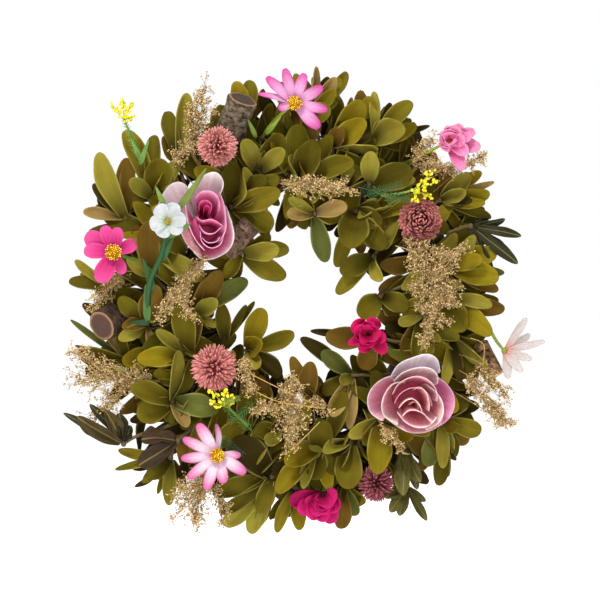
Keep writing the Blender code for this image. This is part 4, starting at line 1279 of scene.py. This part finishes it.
# Middle, core radius, petals as (tip x, tip z, tip height, width, roll), then tones of base, middle and tip.
FLOWERS = {
    "top_daisy": ((-5, 118, 31), 5.0, (
        (-27, 124, 27, 5, 40), (-22, 134, 30, 6, 0), (-11, 139, 33, 6, 0), (1, 136, 34, 6.5, 0),
        (12, 128, 34, 6.5, 0), (15, 114, 32, 6, 0), (10, 103, 33, 7.5, 0), (-15, 115, 29, 5, 0)),
        (rgb(196, 96, 160), rgb(232, 172, 214), rgb(204, 72, 150))),
    "left_cosmos": ((-113, 29, 32), 5.5, (
        (-130, 40, 30, 11, 0), (-119, 45, 32, 8, 0), (-110, 44, 34, 8, 0), (-99, 35, 30, 8, 0),
        (-107, 16, 32, 7, 0), (-122, 11, 36, 11, 0), (-131, 30, 32, 9, 0)),
        (rgb(130, 16, 70), rgb(208, 44, 122), rgb(228, 82, 150))),
    "lower_left_daisy": ((-51, -92, 31), 5.0, (
        (-63, -73, 31, 7, 0), (-72, -82, 31, 6, 0), (-73, -94, 32, 6, 0), (-69, -106, 33, 6, 0),
        (-58, -113, 34, 6.5, 0), (-47, -109, 34, 7, 0), (-34, -103, 33, 7, 0), (-37, -92, 31, 5, 0),
        (-52, -73, 33, 5, 60)),
        (rgb(206, 140, 180), rgb(244, 222, 236), rgb(216, 96, 158))),
    "upper_right_cosmos": ((87, 96, 28), 4.0, (
        (103, 102, 26, 7, 0), (106, 91, 32, 9, 0), (96, 78, 32, 8, 0), (92, 104, 35, 10, 0),
        (82, 100, 35, 8, 0), (83, 90, 34, 8, 0)),
        (rgb(196, 30, 104), rgb(232, 86, 152), rgb(240, 150, 190))),
    "right_daisy": ((121, -30, 20), 3.5, (
        (134, -10, 22, 5, 0), (145, -24, 26, 4.5, 0), (137, -35, 28, 5, 0), (131, -43, 28, 5.5, 0),
        (123, -47, 22, 5.5, 0), (130, -36, 10, 5, 0), (137, -20, 10, 4.5, 0)),
        (rgb(222, 118, 92), rgb(204, 190, 184), rgb(208, 202, 198))),
    "white_blossom": ((-80, 47, 48), 3.0, (
        (-91, 45, 47, 9, 0), (-86, 57, 47, 9, 0), (-75, 58, 49, 9, 0), (-69, 49, 51, 9, 0),
        (-72, 40, 51, 8, 0), (-85, 38, 48, 9, 0)),
        (rgb(130, 156, 60), rgb(198, 204, 198), rgb(206, 208, 214))),
    "magenta_bloom_inner": ((39, -20, 24), 4.0, (
        (30, -12, 28, 10, 0), (44, -10, 26, 9, 0), (50, -31, 28, 8, 0), (35, -31, 28, 8, 0),
        (27, -26, 26, 5, 0)),
        (rgb(60, 0, 22), rgb(160, 0, 58), rgb(204, 14, 92))),
    "magenta_bloom_bottom": ((12, -117, 14), 4.0, (
        (-8, -121, 14, 11, 0), (-3, -127, 18, 10, 0), (4, -131, 20, 10, 0), (11, -133, 18, 10, 0),
        (18, -134, 14, 10, 0)),
        (rgb(66, 0, 26), rgb(164, 0, 72), rgb(210, 24, 112))),
}
FIXED_FLOWER_FEET = {
    "left_cosmos": (-84, 22, 1),
    "lower_left_daisy": (-46, -66, 1),
    "white_blossom": (-85, 31, 1),
    "magenta_bloom_inner": (64, -34, 1),
    "magenta_bloom_bottom": (14, -90, 1),
}
BENDING_STEMS = {
    "top_daisy": ((-20, 105, 14), (-12, 113, 24)),
    "upper_right_cosmos": ((70, 87, 14), (80, 92, 23)),
    "right_daisy": ((111, -15, 10), (117, -25, 16)),
}
FLOWER_CENTRES = ("top_daisy", "left_cosmos", "lower_left_daisy")
# Flowers whose few stamens stand among their petals.
STAMENS = {"upper_right_cosmos": 16, "white_blossom": 7}


def add_flower(name, place, core_radius, petals, tones):
    dice = random.Random(name)
    middle = wreath_point(place)
    body = name if name in BENDING_STEMS else ROOT
    mesher = Mesher()
    double = name.startswith("magenta") or name == "upper_right_cosmos"
    rows, columns = 8, 7
    for tip_x, tip_z, tip_height, width, roll in petals:
        layers = ((1.0, 0.0, 0.0), (0.72, 4.0, 0.5), (0.5, 6.5, 1.1)) if double else ((1.0, 0.0, 0.0),)
        for share, lift, swing in layers:
            tip = wreath_point((tip_x, tip_z, tip_height))
            reach = (tip - middle) * share
            reach = Matrix.Rotation(swing, 3, TOWARD_VIEWER) @ reach + TOWARD_VIEWER * lift * MM
            base = middle + reach.normalized() * 0.8 * MM
            grid = leaf_grid(
                base, middle + reach, width * MM * 1.1, roll + dice.uniform(-8, 8),
                cup=dice.uniform(0.08, 0.2), arch=dice.uniform(0.02, 0.08), root=0.45, round_from=0.7, point=2.4,
                wave=0.24 if double else 0.05, rows=rows, columns=columns, seed=dice.uniform(0, 6),
            )
            shell(mesher, grid, 0.45 * MM, petal_tones(tones, rows, columns, dice))
    if name in FIXED_FLOWER_FEET:
        foot = wreath_point(FIXED_FLOWER_FEET[name])
        route = smooth_route([middle, middle.lerp(foot, 0.55) + Vector((0.001, 0, -0.002)), foot])
        tube(mesher, route, 1.1 * MM, rgb(92, 120, 40), 8, 1)
    core = ball(middle, core_radius * MM * 0.62, 10, 7)
    if name.startswith("magenta"):
        mesher.add(core[0], core[1], tones[0], 0)
    else:
        mesher.add(core[0], core[1], rgb(120, 140, 50), 1)
    for index in range(STAMENS.get(name, 0)):
        out = Vector((math.cos(index * 2.4), 0, math.sin(index * 2.4))) * math.sqrt(index + 0.5) * 0.62 * MM
        place = middle + out + TOWARD_VIEWER * core_radius * dice.uniform(0.8, 1.0) * MM
        tone = dice.choice((rgb(240, 180, 30), rgb(214, 130, 20)))
        bead(mesher, place, 0.6 * MM, tone, 2, 1.4, TOWARD_VIEWER)
    obj = mesher.build(f"look_{name}_petals", [PETAL, GREEN, POLLEN], 1)
    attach(obj, body)
    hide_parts(f"{name}_petals")
    if name in FLOWER_CENTRES:
        add_button(name, middle, core_radius * MM, body, dice)


def add_button(name, middle, radius, body, dice):
    """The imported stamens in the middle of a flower."""
    mesher = Mesher()
    front = middle + TOWARD_VIEWER * radius * 0.75
    for index in range(70):
        share = (index + 0.5) / 70
        turn = index * GOLDEN_TURN
        flat = math.sqrt(share) * radius * 0.92
        place = front + Vector((math.cos(turn) * flat, 0, math.sin(turn) * flat))
        place += TOWARD_VIEWER * radius * (0.45 * (1 - share) + dice.uniform(0, 0.14))
        tone = dice.choice((rgb(248, 204, 30), rgb(255, 226, 70), rgb(222, 158, 20), rgb(196, 124, 20)))
        bead(mesher, place, dice.uniform(0.42, 0.62) * MM, tone, 0, 1.3, TOWARD_VIEWER)
    disc = ball(front, radius * 0.75, 12, 8)
    points = [front + Vector(((p - front).x, (p - front).y * 0.45, (p - front).z)) for p in disc[0]]
    mesher.add(points, disc[1], rgb(150, 96, 10))
    obj = mesher.build(f"look_{name}_centre", [POLLEN])
    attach(obj, body)
    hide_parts(f"{name}_centre")


def add_bending_stem(name, middle):
    """A stem from its hinge on the twig to the middle of the flower."""
    pivot = wreath_point(HINGE_CORES[name][1])
    places = [pivot, *[wreath_point(place) for place in BENDING_STEMS[name]], middle]
    mesher = Mesher()
    route = smooth_route(places, 8)
    radii = np.linspace(1.15, 0.85, len(route)) * MM
    tube(mesher, route, radii, rgb(140, 152, 44), 8)
    obj = mesher.build(f"look_{name}_stem", [GREEN])
    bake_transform(obj)
    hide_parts(f"{name}_stem")


for name, values in FLOWERS.items():
    add_flower(name, *values)
for name in BENDING_STEMS:
    add_bending_stem(name, wreath_point(FLOWERS[name][0]))


# ---------------------------------------------------------------- dried sprays

# Foot on the ring, start of the head, tip of the head, width, thickness, main stalks.
SPRAYS = {
    "dried_spray_top": ((-56, 66, 1), (-68, 92, 12), (-58, 125, 14), 20, 9, 46),
    "dried_spray_centre_top": ((-8, 74, 1), (-12, 70, 38), (30, 66, 38), 15, 9, 48),
    "dried_spray_upper_right": ((62, 56, 1), (68, 82, 16), (94, 78, 16), 16, 9, 40),
    "dried_spray_right": ((68, 28, 1), (63, 30, 35), (92, 2, 36), 28, 12, 62),
    "dried_spray_inner_left": ((-72, 18, 1), (-58, 26, 32), (-88, -13, 34), 15, 8, 52),
    "dried_spray_lower_left": ((-80, -44, 1), (-90, -48, 14), (-142, -46, 14), 26, 9, 76),
    "dried_spray_bottom_centre": ((-8, -76, 1), (-6, -44, 32), (-8, -92, 36), 24, 10, 76),
}
STRAW_TONES = (rgb(204, 174, 120), rgb(186, 154, 100), rgb(220, 194, 142), rgb(160, 128, 80))


def add_tuft(mesher, start, tip, width, thickness, stalks, dice):
    """A head of thin branching stalks that carry tiny buds, inside an ellipse from start to tip."""
    head = tip - start
    length = head.length
    head.normalize()
    normal, side = facing(head, 0)
    for _ in range(stalks):
        share = dice.uniform(0.12, 0.99)
        reach = math.sqrt(max(0.0, 1 - (2 * share - 1) ** 2)) * 0.9 + 0.1
        turn = dice.uniform(0, 2 * math.pi)
        off = dice.uniform(0.1, 1.0) ** 0.6 * reach
        end = (start + head * length * share + side * math.cos(turn) * off * width / 2
               + normal * math.sin(turn) * off * thickness / 2)
        root = start + head * length * max(0.0, share - dice.uniform(0.2, 0.5))
        middle = root.lerp(end, 0.5) + head * length * 0.04
        route = smooth_route([root, middle, end], 3)
        tone = dice.choice(STRAW_TONES)
        tube(mesher, route, np.linspace(0.26, 0.12, len(route)) * MM, np.array(tone) * 0.7, 3)
        for _ in range(dice.randint(3, 5)):
            at = route[dice.randint(1, len(route) - 1)]
            out = scatter(dice).normalized()
            out = (out + head * 0.4).normalized() * dice.uniform(1.8, 6.0) * MM
            out -= normal * out.dot(normal) * 0.4
            tube(mesher, [at, at + out], (0.13 * MM, 0.09 * MM), np.array(tone) * 0.75, 3)
            for _ in range(dice.randint(4, 7)):
                spot = at + out * dice.uniform(0.3, 1.1) + scatter(dice, 0.7) * MM
                fleck(mesher, spot, dice.uniform(0.3, 0.62) * MM, dice.choice(STRAW_TONES), scatter(dice))


def add_spray(name, foot, start, tip, width, thickness, stalks):
    dice = random.Random(name)
    mesher = Mesher()
    begin = wreath_point(start)
    end = wreath_point(tip)
    add_tuft(mesher, begin, end, width * MM * 1.05, thickness * MM * 1.2, stalks, dice)
    base = wreath_point(foot)
    for _ in range(3):
        swing = shake(dice) * MM
        route = smooth_route([base, base.lerp(begin, 0.5) + swing, begin + swing, begin.lerp(end, 0.5)], 4)
        tube(mesher, route, np.linspace(0.5, 0.25, len(route)) * MM, rgb(150, 124, 78), 5)
    obj = mesher.build("look_" + name, [STRAW])
    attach(obj, ROOT)
    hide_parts(name)


for name, values in SPRAYS.items():
    add_spray(name, *values)

# Loose tufts between the sprays: start, tip, width, thickness, stalks.
TUFTS = (
    ((-108, 18, 12), (-130, -8, 12), 17, 8, 34),
    ((-60, -100, 10), (-66, -137, 12), 23, 9, 46),
    ((-54, -104, 16), (-82, -118, 20), 16, 8, 28),
    ((-58, -112, 16), (-80, -132, 18), 14, 8, 24),
    ((-52, -110, 16), (-48, -135, 16), 13, 8, 22),
    ((104, -36, 22), (124, -60, 20), 15, 8, 28),
    ((112, -58, 20), (122, -76, 16), 10, 6, 16),
    ((-112, -46, 13), (-141, -28, 13), 17, 8, 28),
    ((-110, -56, 12), (-130, -72, 12), 18, 8, 28),
    ((98, -44, 22), (116, -68, 20), 15, 8, 34),
    ((110, -66, 16), (127, -74, 14), 8, 6, 16),
    ((47, -74, 30), (60, -90, 28), 8, 6, 14),
    ((84, 8, 34), (70, -30, 32), 10, 7, 30),
    ((78, 14, 36), (98, 34, 30), 12, 8, 20),
    ((60, 38, 34), (92, 22, 36), 14, 8, 26),
    ((62, 10, 34), (94, 0, 36), 14, 8, 24),
    ((66, 0, 34), (88, -14, 34), 12, 7, 22),
    ((66, 84, 20), (80, 100, 16), 14, 7, 22),
    ((98, 82, 16), (110, 88, 14), 8, 6, 14),
    ((-36, -34, 32), (-30, -58, 34), 10, 7, 22),
    ((-30, -66, 32), (-16, -62, 36), 9, 6, 16),
    ((-70, 108, 14), (-56, 134, 12), 10, 6, 20),
    ((-78, 84, 20), (-66, 96, 22), 12, 7, 16),
    ((-74, 10, 34), (-66, -12, 34), 9, 6, 16),
    ((6, -58, 34), (16, -68, 32), 7, 5, 10),
)
# Bent straws that stand clear of the sprays.
STRAWS = (
    ((55, 33, 34), (66, 29, 38), (76, 19, 36)),
    ((-28, -54, 36), (-14, -60, 38), (13, -64, 36)),
    ((10, -72, 36), (4, -78, 38), (-6, -88, 36)),
    ((100, -22, 28), (108, -26, 27), (108, -38, 24)),
    ((-34, -42, 36), (-14, -52, 38), (8, -62, 37)),
)


def add_tufts():
    dice = random.Random(23)
    mesher = Mesher()
    for start, tip, width, thickness, stalks in TUFTS:
        add_tuft(mesher, wreath_point(start), wreath_point(tip), width * MM, thickness * MM, stalks, dice)
        inner = Vector((start[0], 0, start[1])).normalized() * 82
        root = wreath_point((inner.x, inner.z, 2))
        route = smooth_route([root, wreath_point(start), wreath_point(start).lerp(wreath_point(tip), 0.4)], 4)
        tube(mesher, route, np.linspace(0.45, 0.2, len(route)) * MM, rgb(150, 122, 76), 4)
    for places in STRAWS:
        route = smooth_route([wreath_point(place) for place in places], 5)
        tube(mesher, route, 0.3 * MM, rgb(184, 152, 92), 4)
    obj = mesher.build("loose_tufts", [STRAW])
    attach(obj, ROOT)


add_tufts()


# ---------------------------------------------------------------- yellow sprigs

# Route of the stem, then the buds at its end as (tip x, tip z, tip height, width).
YELLOW_SPRIGS = {
    "yellow_sprig_upper_left": (((-99, 90, 12), (-105, 103, 17), (-108, 110, 20)), (
        (-115, 118, 21, 4), (-108, 121, 22, 6), (-103, 119, 21, 4), (-102, 111, 22, 4))),
    "yellow_sprig_upper_right": (((46, 63, 34), (58, 64, 36), (68, 67, 36)), (
        (77, 77, 38, 6), (80, 71, 38, 6), (76, 62, 38, 6), (67, 60, 43, 5))),
    "yellow_sprig_lower_left": (((-33, -75, 24), (-40, -68, 28), (-45, -63, 30)), (
        (-55, -54, 38, 5), (-47, -53, 38, 5), (-56, -60, 36, 5), (-42, -56, 38, 4))),
}
YELLOW_TONES = (rgb(244, 226, 40), rgb(228, 204, 20), rgb(250, 240, 90), rgb(206, 196, 40))


def add_yellow_sprig(name, route, buds):
    dice = random.Random(name)
    places = [wreath_point(place) for place in route]
    mesher = Mesher()
    bends = name in HINGE_CORES
    if bends:
        places.insert(0, wreath_point(HINGE_CORES[name][1]))
    path = smooth_route(places, 6)
    tube(mesher, path, np.linspace(1.1, 0.7, len(path)) * MM, rgb(104, 140, 44), 7, 1)
    for tip_x, tip_z, tip_height, width in buds:
        tip = wreath_point((tip_x, tip_z, tip_height))
        start = places[-1].lerp(places[-2], 0.2)
        tube(mesher, smooth_route([start, start.lerp(tip, 0.5), tip], 3), 0.4 * MM, rgb(150, 166, 50), 5, 1)
        for step in range(16):
            share = 0.3 + 0.7 * step / 15
            swell = width * MM * 0.42 * (0.6 + 0.5 * math.sin(share * math.pi))
            offset = shake(dice) * swell
            bead(mesher, start.lerp(tip, share) + offset, dice.uniform(0.9, 1.4) * MM,
                 dice.choice(YELLOW_TONES), 0, 1.15, tip - start)
    obj = mesher.build("look_" + name, [POLLEN, GREEN], 1)
    if bends:
        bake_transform(obj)
    else:
        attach(obj, ROOT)
    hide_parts(name)


for name, values in YELLOW_SPRIGS.items():
    add_yellow_sprig(name, *values)


# ---------------------------------------------------------------- green stems and fronds

# Long blades beside the flowers: start, tip, width, roll, tone.
BLADES = (
    ((-75, 54, 46), (-56, 81, 46), 5.0, 20, rgb(104, 116, 40)),
    ((-82, 56, 46), (-88, 69, 44), 3.5, 0, rgb(98, 124, 40)),
    ((-80, 38, 44), (-65, 47, 52), 4.0, 10, rgb(78, 110, 34)),
    ((-93, -12, 26), (-94, 12, 32), 5.0, 0, rgb(58, 96, 24)),
    ((-92, -13, 24), (-106, -13, 20), 3.5, 0, rgb(22, 54, 14)),
    ((-89, 6, 34), (-96, 27, 34), 4.5, 0, rgb(24, 70, 18)),
    ((-84, 24, 40), (-76, 40, 44), 4.0, 0, rgb(32, 78, 20)),
    ((-28, 98, 18), (-34, 111, 22), 3.0, 0, rgb(96, 122, 34)),
    ((-22, 100, 18), (-12, 112, 26), 3.0, 0, rgb(112, 138, 40)),
    ((-97, 84, 16), (-104, 99, 20), 3.5, 0, rgb(92, 128, 52)),
    ((-98, 82, 16), (-92, 98, 20), 3.5, 0, rgb(92, 128, 52)),
)
# Ferny fronds beside the yellow sprigs: start, tip, leaflet length, tone.
FRONDS = (
    ((-97, 84, 14), (-107, 108, 18), 5.0, rgb(98, 134, 58)),
    ((32, 68, 34), (62, 62, 36), 5.5, rgb(34, 70, 30)),
    ((36, 62, 36), (58, 70, 38), 5.0, rgb(40, 84, 34)),
    ((48, 60, 36), (64, 60, 40), 4.5, rgb(56, 96, 36)),
    ((-28, -60, 32), (-44, -72, 34), 5.5, rgb(60, 96, 34)),
    ((-30, -78, 28), (-46, -64, 34), 5.0, rgb(70, 110, 36)),
    ((-50, -82, 24), (-36, -92, 24), 5.5, rgb(26, 66, 30)),
    ((-48, -60, 34), (-38, -58, 38), 4.0, rgb(96, 120, 40)),
)


def add_greenery():
    """The green stem at the left with its blades, and the fronds."""
    dice = random.Random(31)
    mesher = Mesher()
    stem = smooth_route([wreath_point(place) for place in (
        (-81, 44, 46), (-84, 28, 42), (-91, 12, 36), (-93, -4, 28), (-94, -14, 18))], 8)
    tube(mesher, stem, np.linspace(1.5, 2.2, len(stem)) * MM, rgb(20, 66, 16), 10)
    for start, tip, width, roll, tone in BLADES:
        grid = leaf_grid(wreath_point(start), wreath_point(tip), width * MM, roll, 0.18, 0.08, 0.55, 0.25,
                         1.2, 0.03, 9, 5, dice.uniform(0, 6))
        shell(mesher, grid, 0.5 * MM, tone)
    for start, tip, length, tone in FRONDS:
        add_frond(mesher, wreath_point(start), wreath_point(tip), length * MM, tone, dice)
    obj = mesher.build("green_stems", [GREEN], 1)
    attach(obj, ROOT)


def add_frond(mesher, start, tip, length, tone, dice):
    """A thin midrib with fine leaflets on both sides."""
    head = (tip - start).normalized()
    normal, side = facing(head, dice.uniform(-20, 20))
    route = smooth_route([start, start.lerp(tip, 0.5) + normal * 1.5 * MM, tip], 5)
    tube(mesher, route, np.linspace(0.45, 0.2, len(route)) * MM, tone, 4)
    for step in range(14):
        share = 0.1 + 0.88 * step / 13
        at = start.lerp(tip, share) + normal * 1.5 * MM * math.sin(share * math.pi)
        for turn in (-1, 1):
            out = (head * 0.8 + side * turn + normal * dice.uniform(-0.3, 0.4)).normalized()
            reach = length * (1 - 0.5 * share) * dice.uniform(0.7, 1.1)
            tube(mesher, [at, at + out * reach * 0.6, at + out * reach + head * 0.4 * MM],
                 (0.28 * MM, 0.42 * MM, 0.1 * MM), np.array(tone) * dice.uniform(0.8, 1.25), 4)


add_greenery()


# ---------------------------------------------------------------- stage

def floor_material():
    t = Tree("pale_floor", 0.9, Emission_Color=(1, 1, 1, 1), Emission_Strength=0.85)
    soft = t.noise(6.0, 2.0)
    t.colour(t.mix(t.spread(soft, 0.3, 0.7, 0.0, 1.0), (0.90, 0.90, 0.90), (0.93, 0.93, 0.93)))
    return t.material


def add_floor(height):
    mesh = bpy.data.meshes.new("floor")
    reach = 30
    mesh.from_pydata([(-reach, -reach, height), (reach, -reach, height), (reach, reach, height),
                      (-reach, reach, height)], [], [(0, 1, 2, 3)])
    mesh.materials.append(floor_material())
    obj = bpy.data.objects.new("floor", mesh)
    bpy.context.scene.collection.objects.link(obj)


def add_light(name, place, size, power, colour=(1, 1, 1)):
    data = bpy.data.lights.new(name, "AREA")
    data.shape = "DISK"
    data.size = size
    data.energy = power
    data.color = colour
    obj = bpy.data.objects.new(name, data)
    obj.location = place
    obj.rotation_mode = "QUATERNION"
    obj.rotation_quaternion = (VIEW_AIM - Vector(place)).to_track_quat("-Z", "Y")
    bpy.context.scene.collection.objects.link(obj)


def add_world(light, backdrop):
    world = bpy.data.worlds.new("studio")
    bpy.context.scene.world = world
    world.use_nodes = True
    tree = world.node_tree
    shown = tree.nodes["Background"]
    shown.inputs["Color"].default_value = (1, 1, 1, 1)
    shown.inputs["Strength"].default_value = backdrop
    lit = tree.nodes.new("ShaderNodeBackground")
    lit.inputs["Color"].default_value = (1, 1, 1, 1)
    lit.inputs["Strength"].default_value = light
    path = tree.nodes.new("ShaderNodeLightPath")
    mix = tree.nodes.new("ShaderNodeMixShader")
    tree.links.new(path.outputs["Is Camera Ray"], mix.inputs[0])
    tree.links.new(lit.outputs[0], mix.inputs[1])
    tree.links.new(shown.outputs[0], mix.inputs[2])
    tree.links.new(mix.outputs[0], tree.nodes["World Output"].inputs["Surface"])


def add_camera():
    data = bpy.data.cameras.new("camera")
    data.sensor_width = SENSOR_WIDTH
    data.lens = data.sensor_width * VIEW_DISTANCE / VIEW_WIDTH
    data.clip_start = 0.05
    data.clip_end = 100
    camera = bpy.data.objects.new("camera", data)
    camera.location = VIEW_AIM + TOWARD_VIEWER * VIEW_DISTANCE
    camera.rotation_euler = (math.pi / 2, 0, 0)
    bpy.context.scene.collection.objects.link(camera)
    bpy.context.scene.camera = camera


bpy.context.scene.view_settings.view_transform = "Standard"
add_floor(cad_low.z - 0.06)
add_light("key", (-0.5, -0.95, 1.2), 0.45, 26)
add_light("front", (0.5, -1.8, 0.3), 1.0, 7)
add_light("top", (0.1, -0.1, 1.3), 0.7, 8)
add_light("back", (-0.7, 1.6, 0.5), 0.8, 7)
add_world(0.2, 1.0)
add_camera()
